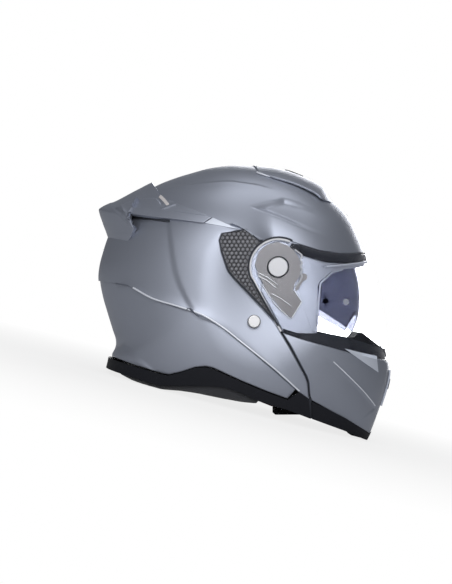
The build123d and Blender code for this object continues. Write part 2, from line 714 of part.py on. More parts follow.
# Chin bar: the painted moulding with its two arms, which lie over the frame of the eyeport
arm_hub_radius = 14.0
arm_block = side_block(near_all(arm_pixels)) + cross_rod(hinge_place, arm_hub_radius, -cut_reach, cut_reach)
flange_pixels = [
    (284, 333.4), (300, 338.4), (315, 342.4), (323, 344.4), (323, 355), (300, 350), (290.5, 344.6),
]
with BuildPart() as chin_bar_shell:
    add(layer(shell_outer, shell_inner, side_block(chin_zone)))
    add(layer(shell_outer, arm_inner, side_block(near_all(flange_pixels))))
    add(layer(arm_outer, arm_inner, arm_block))
    add(cross_rod(hinge_place, hinge_pin_radius + fit_gap, -cut_reach, cut_reach), mode=Mode.SUBTRACT)
finish(chin_bar_shell, "chin_bar_shell")

with BuildPart() as chin_bar_liner:
    add(layer(liner_outer, shell_form(chin_liner_depth), side_block(chin_liner_zone)))
finish(chin_bar_liner, "chin_bar_liner")

# Black trim under the chin bar, with the guide of the release button
button_pixels = (356.5, 433.6)
button_length = 10.0
button_height = 8.0
button_half_width = 17.0
guide_wall = 3.0
guide_half_width = button_half_width + guide_wall
guide_pixels = [(350, 423.6), (369, 423.6), (369, 438.6), (350, 438.6)]
guide_block = side_block(centre_all(guide_pixels), -guide_half_width, guide_half_width)
button_room = upright_box(
    button_pixels[0] - button_length / pixel_size, button_pixels[1],
    -button_half_width - fit_gap, button_half_width + fit_gap,
    3 * button_length + 2 * fit_gap, button_height + fit_gap,
)
with BuildPart() as chin_trim:
    add(layer(trim_outer, trim_inner, side_block(chin_trim_zone)))
    add(guide_block & liner_outer)
    add(button_room, mode=Mode.SUBTRACT)
    add(floor_block, mode=Mode.SUBTRACT)
finish(chin_trim, "chin_trim")

with BuildPart() as release_button:
    add(upright_box(*button_pixels, -button_half_width, button_half_width, button_length, button_height))
finish(release_button, "release_button")

# Black gasket on the chin bar that the visor's foot closes on, and the breath guard behind it
gasket_gap = 0.4
gasket_wall = 4.0
gasket_outer = form(visor_table, visor_width, visor_wall + gasket_gap)
gasket_inner = form(visor_table, visor_width, visor_wall + gasket_gap + gasket_wall)
with BuildPart() as visor_gasket:
    add(layer(gasket_outer, gasket_inner, side_block(visor_seal_zone)))
finish(visor_gasket, "visor_gasket")

guard_half_width = 32.0
guard_pixels = [(350.6, 338), (356, 331.8), (360, 332.4), (390, 356), (352, 350)]
with BuildPart() as breath_guard:
    add(side_block(centre_all(guard_pixels), -guard_half_width, guard_half_width))
    add(form(visor_table, visor_width, visor_wall + gasket_gap + gasket_wall + fit_gap), mode=Mode.INTERSECT)
finish(breath_guard, "breath_guard")

# Chin air intake and its slider
chin_vent_rise = 2.5
chin_slider_rise = 4.6
chin_vent_half_width = 30.0
chin_slider_half_width = 11.0
chin_vent_pixels = [(370, 368), (420, 372), (420, 408), (366, 404)]
chin_slider_pixels = [(370, 378), (420, 381), (420, 391), (366, 388)]
chin_vent_block = side_block(centre_all(chin_vent_pixels), -chin_vent_half_width, chin_vent_half_width)
chin_slider_block = side_block(
    centre_all(chin_slider_pixels), -chin_slider_half_width, chin_slider_half_width
)
chin_slider_outer = shell_form(-chin_slider_rise)
chin_slider_inner = shell_form(-chin_vent_rise - fit_gap)
with BuildPart() as chin_vent_housing:
    add(layer(shell_form(-chin_vent_rise), shell_seat, chin_vent_block))
finish(chin_vent_housing, "chin_vent_housing")
with BuildPart() as chin_vent_slider:
    add(layer(chin_slider_outer, chin_slider_inner, chin_slider_block))
finish(chin_vent_slider, "chin_vent_slider")

# Mechanism plates that carry the visor on the chin arms
pivot_shaft_radius = 4.5
pivot_cap_radius = 10.3
pivot_cap_wall = 1.1
pivot_head_radius = 5.9
pivot_head_rise = 1.0
plate_outer = form(shell_table, plate_width)
plate_inner = form(shell_table, plate_width, plate_wall)
plate_layer = layer(plate_outer, plate_inner, side_block(near_all(plate_pixels)))
for sign, name in ((-1, "mechanism_plate_right"), (1, "mechanism_plate_left")):
    with BuildPart() as mechanism_plate:
        add(one_side(plate_layer, sign))
        add(cross_rod((0, 0), pivot_shaft_radius, -cut_reach, cut_reach), mode=Mode.SUBTRACT)
    finish(mechanism_plate, name)

pivot_cap_start = visor_width + fit_gap
pivot_cap_end = pivot_cap_start + pivot_cap_wall
with BuildPart() as pivot_screws:
    add(rods_both_sides((0, 0), pivot_shaft_radius, plate_width - plate_wall + fit_gap, pivot_cap_start))
    add(rods_both_sides((0, 0), pivot_cap_radius, pivot_cap_start, pivot_cap_end))
    add(rods_both_sides((0, 0), pivot_head_radius, pivot_cap_start, pivot_cap_end + pivot_head_rise))
finish(pivot_screws, "pivot_screws")

# Clear visor
visor_block = side_block(visor_zone) + cross_rod((0, 0), visor_end_radius, -cut_reach, cut_reach)
tab_half_width = 12.0
tab_pixels = [(384.5, 352), (390.6, 356.4), (390.4, 358), (384.7, 354.2)]
tab_block = side_block(centre_all(tab_pixels), -tab_half_width, tab_half_width) - visor_inner
visor_pin_pixels = (346.2, 302)
visor_pin_place = near(*visor_pin_pixels)
with BuildPart() as visor:
    add(layer(visor_outer, visor_inner, visor_block))
    add(cross_rod((0, 0), pivot_shaft_radius + fit_gap, -cut_reach, cut_reach), mode=Mode.SUBTRACT)
    add(tab_block)
finish(visor, "visor")

# The two pins on the visor's inner face that an anti-mist insert would clip on
visor_pin_radius = 3.5
visor_pin_length = 4.0
visor_pin_depth = 70.0
with BuildPart() as visor_pins:
    add(rods_both_sides(visor_pin_place, visor_pin_radius, visor_pin_depth, helmet_half_width))
    add(visor_inner, mode=Mode.INTERSECT)
    add(form(visor_table, visor_width, visor_wall + visor_pin_length), mode=Mode.SUBTRACT)
finish(visor_pins, "visor_pins")

# Small levers that free the visor from its plates
lever_wall = 1.4
lever_gap = 0.1
lever_knob_radius = 4.1
lever_pixels = (303.6, 277)
lever_foot_pixels = (297.6, 289)
lever_foot_radius = 1.8
lever_knob = near(*lever_pixels)
lever_foot = near(*lever_foot_pixels)
lever_bar = [
    (lever_foot[0] - lever_foot_radius, lever_foot[1]), (lever_foot[0] + lever_foot_radius, lever_foot[1]),
    (lever_knob[0] + lever_foot_radius, lever_knob[1]), (lever_knob[0] - lever_foot_radius, lever_knob[1]),
]
lever_base = arm_width + lever_gap
for sign, name in ((-1, "visor_lever_right"), (1, "visor_lever_left")):
    low, high = sorted((sign * lever_base, sign * (lever_base + lever_wall)))
    with BuildPart() as visor_lever:
        add(side_block(lever_bar, low, high))
        add(cross_rod(lever_knob, lever_knob_radius, low, high))
        add(cross_rod(lever_foot, lever_foot_radius, low, high))
    finish(visor_lever, name)

# Latch hooks at the ends of the chin bar, on pins that stand on its inner face
hook_pixels = (321, 396)
hook_wall = 3.0
hook_start = 93.0
hook_pin_radius = 2.5
hook_hub_radius = 6.0
hook_beak = 7.0
hook_place = near(*hook_pixels)
hook_zone = [
    (hook_place[0], hook_place[1] - hook_hub_radius), (hook_place[0], hook_place[1] + hook_hub_radius),
    (striker_place[0] - striker_radius, striker_place[1] + hook_beak + striker_radius),
    (striker_place[0] - 2 * striker_radius, striker_place[1] + striker_radius + fit_gap),
    (striker_place[0] + 2 * striker_radius, striker_place[1] + striker_radius + fit_gap),
]
for sign, name in ((-1, "latch_hook_right"), (1, "latch_hook_left")):
    low, high = sorted((sign * hook_start, sign * (hook_start + hook_wall)))
    with BuildPart() as latch_hook:
        add(side_block(hook_zone, low, high))
        add(cross_rod(hook_place, hook_hub_radius, low, high))
        add(cross_rod(hook_place, hook_pin_radius + fit_gap, low, high), mode=Mode.SUBTRACT)
    finish(latch_hook, name)

with BuildPart() as hook_pins:
    add(rods_both_sides(hook_place, hook_pin_radius, hook_start - fit_gap, half_breadth(*hook_place)))
    add(liner_outer, mode=Mode.INTERSECT)
finish(hook_pins, "hook_pins")

# Retention strap: two webbings run down the inside of the jaw and meet in a lever buckle under the chin
strap_inset = 0.6
strap_wall = 1.6
strap_width = 24.0
strap_height = 4.0
strap_drop = 12.0
strap_turn = 16.0
right_strap_end = 28.0
left_strap_end = 16.0
buckle_right_end = 34.0
buckle_left_end = 10.0
buckle_width = 30.0
buckle_height = 7.4
buckle_rail = 2.0
buckle_base = 1.6
block_length = 8.0
slot_height = 2.4
tongue_gap = 0.3
tongue_wall = 1.2
tongue_tip = 8.0
tongue_tail = 26.0
tongue_width = 18.0
buckle_pin_radius = 1.2
buckle_pin_gap = 0.05
buckle_pin_width = 21.0
buckle_pin_height = 6.0
buckle_lever_tail = 3.0
buckle_lever_foot = 4.2
buckle_lever_top = 7.8
buckle_lever_tip = 8.0
tab_width = 9.0
tab_wall = 1.0
tab_reach = 31.0
tab_knee = 17.0
tab_rise = 5.6
strap_join_pixels = (286, 396)
strap_side_pixels = [(243, 312), (265, 308), (296.4, 398), (275.6, 401)]
buckle_pixels = (286, 413.2)
buckle_place = centre(*buckle_pixels)
join_place = centre(*strap_join_pixels)
join_breadth = cavity_breadth(*join_place) - strap_inset - strap_wall / 2
strap_plane = Plane(
    origin=head.from_local_coords(Vector(join_place[0], 0, 0)), x_dir=(0, 1, 0), z_dir=head.x_dir
)


def raised_box(rise, low, high, length, height):
    """Box above the buckle's foot."""
    return Pos(rise * head.z_dir) * upright_box(*buckle_pixels, low, high, length, height)


def buckle_rod(radius):
    """Round bar along the buckle's pin, between the outer faces of its rails."""
    rear_face = buckle_place[0] - buckle_width / 2
    rear_end = Vector(rear_face, -buckle_pin_width, buckle_place[1] + buckle_pin_height)
    spot = Plane(origin=head.from_local_coords(rear_end), x_dir=(0, 1, 0), z_dir=head.x_dir)
    with BuildPart(mode=Mode.PRIVATE) as rod:
        with BuildSketch(spot):
            Circle(radius)
        extrude(amount=buckle_width)
    return rod.part


strap_block = side_block(centre_all(strap_side_pixels))
strap_layer = layer(head_space(strap_inset), head_space(strap_inset + strap_wall), strap_block)
for sign, name, end in ((-1, "chin_strap_right", right_strap_end), (1, "chin_strap_left", left_strap_end)):
    with BuildPart() as chin_strap:
        add(one_side(strap_layer, sign))
        with BuildSketch(strap_plane):
            with BuildLine():
                Polyline(
                    (sign * join_breadth, join_place[1]),
                    (sign * (join_breadth - strap_wall), join_place[1] - strap_drop / 2),
                    (sign * (join_breadth - strap_turn), buckle_place[1] + strap_height + strap_wall),
                    (sign * (join_breadth - 2 * strap_turn), buckle_place[1] + strap_height),
                    (sign * end, buckle_place[1] + strap_height),
                )
            trace(line_width=strap_wall)
        extrude(amount=strap_width / 2, both=True)
    finish(chin_strap, name)

tray_width = buckle_width - 2 * buckle_rail
tray_start = block_length - buckle_right_end
slot_width = strap_width + 2 * fit_gap
slot_end = fit_gap - right_strap_end
buckle_tray = raised_box(buckle_base, tray_start, buckle_left_end, tray_width, buckle_height)
strap_slot = raised_box(strap_height - slot_height / 2, -buckle_right_end, slot_end, slot_width, slot_height)
with BuildPart() as buckle_frame:
    add(upright_box(*buckle_pixels, -buckle_right_end, buckle_left_end, buckle_width, buckle_height))
    add(buckle_tray, mode=Mode.SUBTRACT)
    add(strap_slot, mode=Mode.SUBTRACT)
    add(buckle_rod(buckle_pin_radius + buckle_pin_gap), mode=Mode.SUBTRACT)
finish(buckle_frame, "buckle_frame")

lever_tail = -buckle_pin_width - buckle_lever_tail
plate_length = tray_width - 2 * fit_gap
plate_height = buckle_lever_top - buckle_lever_foot
with BuildPart() as buckle_lever:
    add(raised_box(buckle_lever_foot, lever_tail, buckle_lever_tip, plate_length, plate_height))
    add(buckle_rod(buckle_pin_radius))
finish(buckle_lever, "buckle_lever")

with BuildPart() as strap_tongue:
    add(raised_box(buckle_base + tongue_gap, -tongue_tip, tongue_tail, tongue_width, tongue_wall))
finish(strap_tongue, "strap_tongue")

# Red pull tab sewn to the lever
tab_level = buckle_place[1] + buckle_lever_top + tab_wall / 2
with BuildPart() as lever_tab:
    with BuildSketch(side.offset(tab_width / 2 - buckle_lever_tip)):
        with BuildLine():
            Polyline(
                (buckle_place[0] + tab_width, tab_level),
                (buckle_place[0] - tab_knee, tab_level),
                (buckle_place[0] - tab_reach, tab_level + tab_rise),
            )
        trace(line_width=tab_wall)
    extrude(amount=tab_width / 2, both=True)
finish(lever_tab, "lever_tab")
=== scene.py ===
# %% [markdown]
# A flip-up motorcycle helmet, dressed for the camera.
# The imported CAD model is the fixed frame. Every piece below is worked out in metres in that same
# frame, so it lands on its CAD node without being moved. Places read in the side view are kept as
# pixels, because that is how a modeller reads a reference picture, and one cell turns them into metres.

# %% Load the frame
import bmesh, bpy, json, math
import numpy as np
from mathutils import Matrix, Vector


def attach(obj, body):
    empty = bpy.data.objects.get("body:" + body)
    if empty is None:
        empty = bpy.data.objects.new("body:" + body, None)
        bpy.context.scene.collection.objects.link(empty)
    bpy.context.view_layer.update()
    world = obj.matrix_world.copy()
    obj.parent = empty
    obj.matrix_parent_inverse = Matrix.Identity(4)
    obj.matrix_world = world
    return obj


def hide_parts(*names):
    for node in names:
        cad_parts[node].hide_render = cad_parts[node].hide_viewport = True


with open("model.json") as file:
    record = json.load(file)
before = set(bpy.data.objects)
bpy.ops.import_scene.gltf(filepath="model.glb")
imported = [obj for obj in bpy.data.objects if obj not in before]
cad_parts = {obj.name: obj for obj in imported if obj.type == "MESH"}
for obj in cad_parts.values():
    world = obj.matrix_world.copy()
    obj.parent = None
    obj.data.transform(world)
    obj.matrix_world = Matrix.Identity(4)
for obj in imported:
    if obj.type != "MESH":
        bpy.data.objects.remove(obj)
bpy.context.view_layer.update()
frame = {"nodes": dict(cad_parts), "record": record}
nodes = frame["nodes"]

# %% [markdown]
# One long lens looks at the wearer's right side, square on and a little from behind. A point that
# lies nearer to the lens than the middle of the helmet looks larger, so its depth has to be known
# before its pixel can be turned into a place. The helmet is drawn in its worn attitude about the
# visor's hinge line, and then tipped back on to the table.

# %% Sizes and the side view
helmet_length, length_pixels = 0.346, 293.0
pixel = helmet_length / length_pixels
picture_middle, picture_height = np.array([226.0, 292.0]), 584
viewing_distance = 2.2
viewing_turn = math.radians(3)
standing_tip = math.radians(14.6)
pivot = np.array([0.01925, 0.0, 0.1663])
hub = (278.2, 266.9)
half_width = 0.127
visor_inset, arm_inset, plate_inset, grille_inset = 0.003, 0.0078, 0.0055, 0.002
tiny = 1e-9


def raw_place(pixels, depth):
    """Pixel offset from the picture's middle, times the pixel size, less a share for its depth."""
    pixels = np.asarray(pixels, float)
    shrink = 1 - np.asarray(depth) / viewing_distance
    forward = (pixels[..., 0] - picture_middle[0]) * pixel * shrink - depth * math.tan(viewing_turn)
    upward = (picture_middle[1] - pixels[..., 1]) * pixel * shrink
    return np.stack([forward, upward], -1)


pivot_raw = raw_place(hub, half_width - visor_inset)


def at_depth(pixels, depth=0.0):
    """Forward and up from the hinge line for pixels at a known depth."""
    return raw_place(pixels, depth) - pivot_raw


def to_pixels(place, depth):
    """The inverse: where a place at a depth is seen."""
    size = pixel * (1 - depth / viewing_distance)
    across = (place[..., 0] + pivot_raw[0] + depth * math.tan(viewing_turn)) / size + picture_middle[0]
    down = picture_middle[1] - (place[..., 1] + pivot_raw[1]) / size
    return np.stack([across, down], -1)


def to_row(forward, across, upward):
    """Worn attitude to the standing one: turned by the tip about the cross axis, then moved to the pivot."""
    c, s = math.cos(standing_tip), math.sin(standing_tip)
    return np.stack([pivot[0] + forward * c - upward * s, pivot[1] + across,
                     pivot[2] + forward * s + upward * c], -1)


# %% [markdown]
# A helmet's skin is close to a stack of side profiles that shrink towards the ears. So each skin here
# is one closed profile in polar form about the hinge line, and a superellipse that says how far out the
# skin stands where the profile has shrunk to a share of itself. A flat map with the ear at its middle
# and the centre plane as its rim lets any panel be drawn as a patch between four edges.

# %% Profiles
shell_profile_pixels = [
    (364.8, 262), (362.6, 254), (355.6, 235), (345.6, 215), (330.5, 200.5), (315, 188.8), (300, 180.4),
    (283, 173.6), (268, 170), (252, 167), (235, 165.8), (220, 166.9), (205, 169.6), (190.5, 173.7),
    (172, 179.5), (155, 187), (140, 196.5), (127, 208), (116, 222), (108, 237), (103, 252), (99.4, 266),
    (98.3, 279), (101, 296), (105.8, 313), (111, 330), (114.5, 343), (111.5, 355), (104.5, 368),
    (98, 388), (100, 415), (120, 450), (160, 480), (215, 500), (270, 505), (320, 487), (349, 463),
    (366, 440), (372, 426), (377.5, 411), (382.5, 396), (387, 378), (388, 367), (386.3, 357.5),
    (381, 342), (376, 325), (371.5, 305), (368, 285),
]
visor_profile_pixels = [
    (369.7, 260.8), (367, 254), (361, 234), (350, 213), (335, 195), (318, 182), (300, 172), (283, 166),
    (268, 162), (235, 158), (205, 161), (172, 171), (140, 188), (108, 220), (95, 252), (90, 279),
    (97, 313), (103, 343), (96, 368), (90, 388), (90, 415), (112, 456), (155, 489), (212, 509),
    (270, 514), (324, 495), (356, 468), (374, 440), (382, 411), (388, 385), (388.5, 365),
    (385.5, 350), (381.5, 318), (377, 292.2), (373, 275),
]


def hermite(part, start, end, leave, arrive):
    """Cubic from start to end that leaves and arrives with the given slopes, part being 0 to 1 of the way."""
    square, cube = part**2, part**3
    return ((2 * cube - 3 * square + 1) * start + (cube - 2 * square + part) * leave
            + (3 * square - 2 * cube) * end + (cube - square) * arrive)


def polar_profile(pixels):
    """Radius at any angle: cubic Hermite pieces whose slopes are those of the neighbours, closed round."""
    place = at_depth(pixels)
    angles = np.arctan2(place[:, 1], place[:, 0]) % (2 * np.pi)
    order = np.argsort(angles)
    angles, radii = angles[order], np.hypot(*place[order].T)
    angles = np.concatenate([angles[-2:] - 2 * np.pi, angles, angles[:2] + 2 * np.pi])
    radii = np.concatenate([radii[-2:], radii, radii[:2]])
    slopes = np.zeros_like(radii)
    slopes[1:-1] = (radii[2:] - radii[:-2]) / (angles[2:] - angles[:-2])

    def radius(angle):
        """The piece that holds the angle, at the angle's share of it."""
        angle = np.asarray(angle) % (2 * np.pi)
        after = np.clip(np.searchsorted(angles, angle, side="right"), 2, len(angles) - 2)
        before = after - 1
        span = angles[after] - angles[before]
        return hermite((angle - angles[before]) / span, radii[before], radii[after], span * slopes[before],
                       span * slopes[after])
    return radius


shell_radius = polar_profile(shell_profile_pixels)
visor_radius = polar_profile(visor_profile_pixels)
print("shell radius forward and up, mm", np.round(shell_radius(np.radians([0, 90, 180, 270])) * 1000, 1))

# %% Skins
roundness = 2.4
rim_lean, ear_lean = math.pi / 2, 0.12
ear_flat, ear_blend = 0.014, 0.4
temple_drop = 0.0108
temple_start, temple_rise, temple_end, temple_fade = -50, 32, 95, 55
calm_spread, first_share, share_guesses, depth_guesses = 26, 0.7, 9, 8


def ease(part):
    """Smooth step from 0 to 1."""
    part = np.clip(part, 0, 1)
    return part * part * (3 - 2 * part)


def temple_share(angle):
    """1 at the temples, 0 at the back and at the chin, eased between."""
    turn = (np.degrees(angle) + 90) % 360 - 90
    return ease((turn - temple_start) / temple_rise) * (1 - ease((turn - temple_end) / temple_fade))


class Skin:
    """A smooth skin: radius about the hinge line, half width, and whether its temples are drawn in."""

    def __init__(self, radius, width, temples=False):
        """Keeps a table of the profile's average over twice the spread, in steps of a degree."""
        self.radius, self.width, self.temples = radius, width, temples
        turn = np.linspace(0, 2 * np.pi, 361)
        spread = np.radians(np.linspace(-calm_spread, calm_spread, calm_spread + 1))
        self.table = turn, np.mean(radius(turn[:, None] + spread), 1)

    def reach_of(self, angle, share):
        """The profile at the rim, eased into its own average towards the ear by the cube of the share.

        So a waist at the rim doesn't run on as a groove.
        """
        calm = np.interp(np.asarray(angle) % (2 * np.pi), *self.table)
        return calm + (self.radius(angle) - calm) * share**3

    def share_of(self, place):
        """Radius, angle and share of the profile at a side-view place, the share by repeated guesses."""
        radius, angle = np.hypot(place[..., 0], place[..., 1]), np.arctan2(place[..., 1], place[..., 0])
        share = np.full(np.shape(radius), first_share)
        for _ in range(share_guesses):
            share = np.clip((radius - ear_flat) / (self.reach_of(angle, share) - ear_flat), 0, 1)
        return radius, angle, share

    def at(self, flat, inset=0.0):
        """Forward, across (to the right, as seen) and up for flat-map places.

        Radius = ear flat + (profile - inset - ear flat) * sin(lean). Half width = width less the temples'
        drop, times (1 - sin(lean) ** roundness) ** (1 / roundness).
        """
        reach = np.hypot(flat[..., 0], flat[..., 1])
        angle = np.arctan2(flat[..., 1], flat[..., 0])
        share = np.sin(np.clip(reach - ear_lean, 0, rim_lean))
        outer = self.reach_of(angle, share) - inset
        beyond = ear_flat + (outer - ear_flat) * share
        radius = np.where(reach < ear_lean, ear_flat * reach / ear_lean, beyond)
        rise = np.clip(1 - share**roundness, 0, 1) ** (1 / roundness)
        drop = 0
        if self.temples:
            drop = temple_drop * np.maximum(temple_share(angle), 1 - ease(share / ear_blend))
        across = (self.width - inset - drop) * rise
        return np.stack([radius * np.cos(angle), across, radius * np.sin(angle)], -1)

    def breadth(self, place):
        """Half width at a side-view place."""
        _, angle, share = self.share_of(place)
        drop = temple_drop * temple_share(angle) if self.temples else 0
        return (self.width - drop) * (1 - share**roundness) ** (1 / roundness)

    def flatten(self, place):
        """Flat-map place of a side-view place."""
        radius, angle, share = self.share_of(place)
        reach = np.where(radius < ear_flat, radius / ear_flat * ear_lean, ear_lean + np.arcsin(share))
        return np.stack([reach * np.cos(angle), reach * np.sin(angle)], -1)


shell_skin = Skin(shell_radius, half_width, temples=True)
frame_skin = Skin(shell_radius, half_width - temple_drop)
arm_skin = Skin(shell_radius, half_width - arm_inset)
plate_skin = Skin(shell_radius, half_width - plate_inset)
visor_skin = Skin(visor_radius, half_width - visor_inset)
grille_skin = Skin(shell_radius, half_width - grille_inset)


def near(pixels):
    """Side-view places of pixels on the near side, moved back for their own depth by repeated guesses."""
    pixels = np.asarray(pixels, float)
    depth = np.zeros(pixels.shape[:-1])
    for _ in range(depth_guesses):
        depth = (depth + shell_skin.breadth(at_depth(pixels, depth))) / 2
    return at_depth(pixels, depth)


print("half width at the hinge line, mm", round(float(shell_skin.breadth(np.zeros(2))) * 1000, 1))

# %% [markdown]
# The camera is a long lens, so the helmet keeps nearly parallel sides. It is rolled by the standing
# tip, because the picture shows the helmet in its worn attitude.

# %% Camera
scene = bpy.context.scene
aim = np.array([-0.0237, 0.0, 0.1262])
eye = np.array([-0.1353, -2.2, 0.0971])
far_clip = 50


def look(location, target, up):
    """Columns are right, up and backwards: the camera looks down its own -Z."""
    back = Vector(location - target).normalized()
    right = Vector(up).cross(back).normalized()
    return Matrix((right, back.cross(right), back)).transposed().to_quaternion()


lens = bpy.data.cameras.new("lens")
camera = bpy.data.objects.new("camera", lens)
scene.collection.objects.link(camera)
camera.location = eye
camera.rotation_mode = "QUATERNION"
camera.rotation_quaternion = look(eye, aim, (-math.sin(standing_tip), 0, math.cos(standing_tip)))
lens.sensor_fit = "VERTICAL"
lens.angle_y = 2 * math.atan(picture_height * pixel / 2 / viewing_distance)
lens.clip_end = far_clip
scene.camera = camera
scene.view_settings.view_transform = "Standard"
print("lens", round(lens.lens, 1), "mm")

# %% [markdown]
# Plain studio light: one broad soft lamp from the side that the lens looks at, a weaker one over the
# top, one beyond the helmet for the skin that turns away, and a dim even world.

# %% Lamps
lamps = [
    ("key", (-0.25, -2.3, 0.75), (0.0, 0.0, 0.14), 1.3, 31.0),
    ("top", (-0.1, -0.3, 2.0), (0.0, 0.0, 0.15), 1.2, 9.0),
    ("far", (0.5, 2.3, 0.7), (0.0, 0.0, 0.15), 1.3, 42.0),
]
for name, place, target, size, power in lamps:
    light = bpy.data.lights.new(name, "AREA")
    light.size = size
    light.energy = power
    lamp = bpy.data.objects.new(name, light)
    scene.collection.objects.link(lamp)
    lamp.location = place
    lamp.rotation_mode = "QUATERNION"
    lamp.rotation_quaternion = look(np.array(place), np.array(target), (0, 0.01, 1))
print("lamps", len(lamps))

# %% [markdown]
# The white of the backdrop is only what the lens and glass see of the world and the floor. It adds no
# light to the helmet. Near the helmet the floor lets some of its own shade through, so that it holds a
# soft shadow.

# %% World
def set_sockets(node, **sockets):
    """Fill in the sockets that are named, with _ for a space."""
    for socket, value in sockets.items():
        node.inputs[socket.replace("_", " ")].default_value = value
    return node


def add_node(tree, kind, **sockets):
    """Add a shader node and fill in the sockets that are named."""
    return set_sockets(tree.nodes.new(kind), **sockets)


def maths(tree, kind, *values):
    """One Math node. Each value is a socket or a number."""
    node = tree.nodes.new("ShaderNodeMath")
    node.operation = kind
    for slot, value in zip(node.inputs, values):
        if isinstance(value, (int, float)):
            slot.default_value = value
        else:
            tree.links.new(value, slot)
    return node.outputs[0]


def mixed(tree, share, first, second, out):
    """A Mix Shader between two nodes by a share, led to the output node."""
    mix = tree.nodes.new("ShaderNodeMixShader")
    for slot, value in zip(mix.inputs, (share, first.outputs[0], second.outputs[0])):
        tree.links.new(value, slot)
    tree.links.new(mix.outputs[0], out.inputs[0])


def white_for_eyes(tree):
    """1 for a ray from the lens or through glass: the larger of the two Light Path outputs."""
    path = tree.nodes.new("ShaderNodeLightPath")
    return maths(tree, "MAXIMUM", path.outputs["Is Camera Ray"], path.outputs["Is Transmission Ray"])


world = bpy.data.worlds.new("studio")
scene.world = world
world.use_nodes = True
sky = world.node_tree
sky.nodes.clear()
dim = add_node(sky, "ShaderNodeBackground", Color=(0.95, 0.97, 1.0, 1), Strength=0.22)
white = add_node(sky, "ShaderNodeBackground", Color=(1, 1, 1, 1), Strength=1.0)
mixed(sky, white_for_eyes(sky), dim, white, sky.nodes.new("ShaderNodeOutputWorld"))
print("world nodes", len(sky.nodes))


# %% Floor
def mesh_object(name, points, faces, material):
    """A mesh object at the origin, with its place in its vertices."""
    mesh = bpy.data.meshes.new(name)
    mesh.from_pydata(np.asarray(points, float).reshape(-1, 3).tolist(), [], faces)
    mesh.update()
    thing = bpy.data.objects.new(name, mesh)
    scene.collection.objects.link(thing)
    mesh.materials.append(material)
    return thing


floor_reach, floor_drop = 40.0, 0.0002
floor_paint = bpy.data.materials.new("floor_white")
floor_paint.use_nodes = True
tree = floor_paint.node_tree
tree.nodes.clear()
matt = add_node(tree, "ShaderNodeBsdfDiffuse", Color=(0.55, 0.55, 0.55, 1))
glow = add_node(tree, "ShaderNodeEmission", Color=(1, 1, 1, 1), Strength=1.0)
reach = tree.nodes.new("ShaderNodeVectorMath")
reach.operation = "LENGTH"
tree.links.new(tree.nodes.new("ShaderNodeTexCoord").outputs["Object"], reach.inputs[0])
fade = add_node(tree, "ShaderNodeMapRange", From_Min=0.25, From_Max=0.9, To_Min=0.8, To_Max=1.0)
tree.links.new(reach.outputs["Value"], fade.inputs["Value"])
share = maths(tree, "MULTIPLY", white_for_eyes(tree), fade.outputs["Result"])
mixed(tree, share, matt, glow, tree.nodes.new("ShaderNodeOutputMaterial"))
corner = np.array([[-1, -1, 0], [1, -1, 0], [1, 1, 0], [-1, 1, 0]]) * floor_reach
floor = mesh_object("floor", corner - [0, 0, floor_drop], [(0, 1, 2, 3)], floor_paint)
print("floor", 2 * floor_reach, "m wide")

# %% [markdown]
# Every finish on this helmet has something small in it: flake in the paint, sand texture on the
# mouldings, pores in foam, yarn in cloth. The same two effects serve them all, so each is a node
# group with its own numbers in every material. A group puts out only masks and heights.

# %% Shared effects
def new_group(name, inputs, outputs):
    """An empty shader group with float inputs (name, default) and float outputs."""
    group = bpy.data.node_groups.new(name, "ShaderNodeTree")
    for label, value in inputs:
        socket = group.interface.new_socket(label, in_out="INPUT", socket_type="NodeSocketFloat")
        socket.default_value = value
    for label in outputs:
        group.interface.new_socket(label, in_out="OUTPUT", socket_type="NodeSocketFloat")
    return group, group.nodes.new("NodeGroupInput"), group.nodes.new("NodeGroupOutput")


def add_group(tree, group, **sockets):
    """Add a group node and fill in its sockets."""
    node = tree.nodes.new("ShaderNodeGroup")
    node.node_tree = group
    return set_sockets(node, **sockets)


grain_group, enter, leave = new_group("grain", [("Scale", 900.0), ("Patches", 14.0)], ["Fine", "Broad"])
place = grain_group.nodes.new("ShaderNodeTexCoord")
for label, source, detail in (("Fine", "Scale", 3.0), ("Broad", "Patches", 4.0)):
    noise = add_node(grain_group, "ShaderNodeTexNoise", Detail=detail, Roughness=0.6)
    grain_group.links.new(place.outputs["Object"], noise.inputs["Vector"])
    grain_group.links.new(enter.outputs[source], noise.inputs["Scale"])
    grain_group.links.new(noise.outputs["Fac"], leave.inputs[label])

weave_group, enter, leave = new_group("weave", [("Pitch", 1600.0)], ["Height"])
place = weave_group.nodes.new("ShaderNodeTexCoord")
waves = []
for direction in ("X", "Z"):
    wave = add_node(weave_group, "ShaderNodeTexWave", Distortion=1.2, Detail=1.0)
    wave.bands_direction = direction
    weave_group.links.new(place.outputs["Object"], wave.inputs["Vector"])
    weave_group.links.new(enter.outputs["Pitch"], wave.inputs["Scale"])
    waves.append(wave.outputs["Fac"])
weave_group.links.new(maths(weave_group, "MULTIPLY", *waves), leave.inputs["Height"])
print("effects", grain_group.name, weave_group.name)

# %% [markdown]
# One recipe serves every finish: a plain colour, made a little darker and lighter by the fine and the
# broad noise, with the fine noise or the weave as bump. Clear plastic is the same with its light let
# through.

# %% The recipe
looks = {}


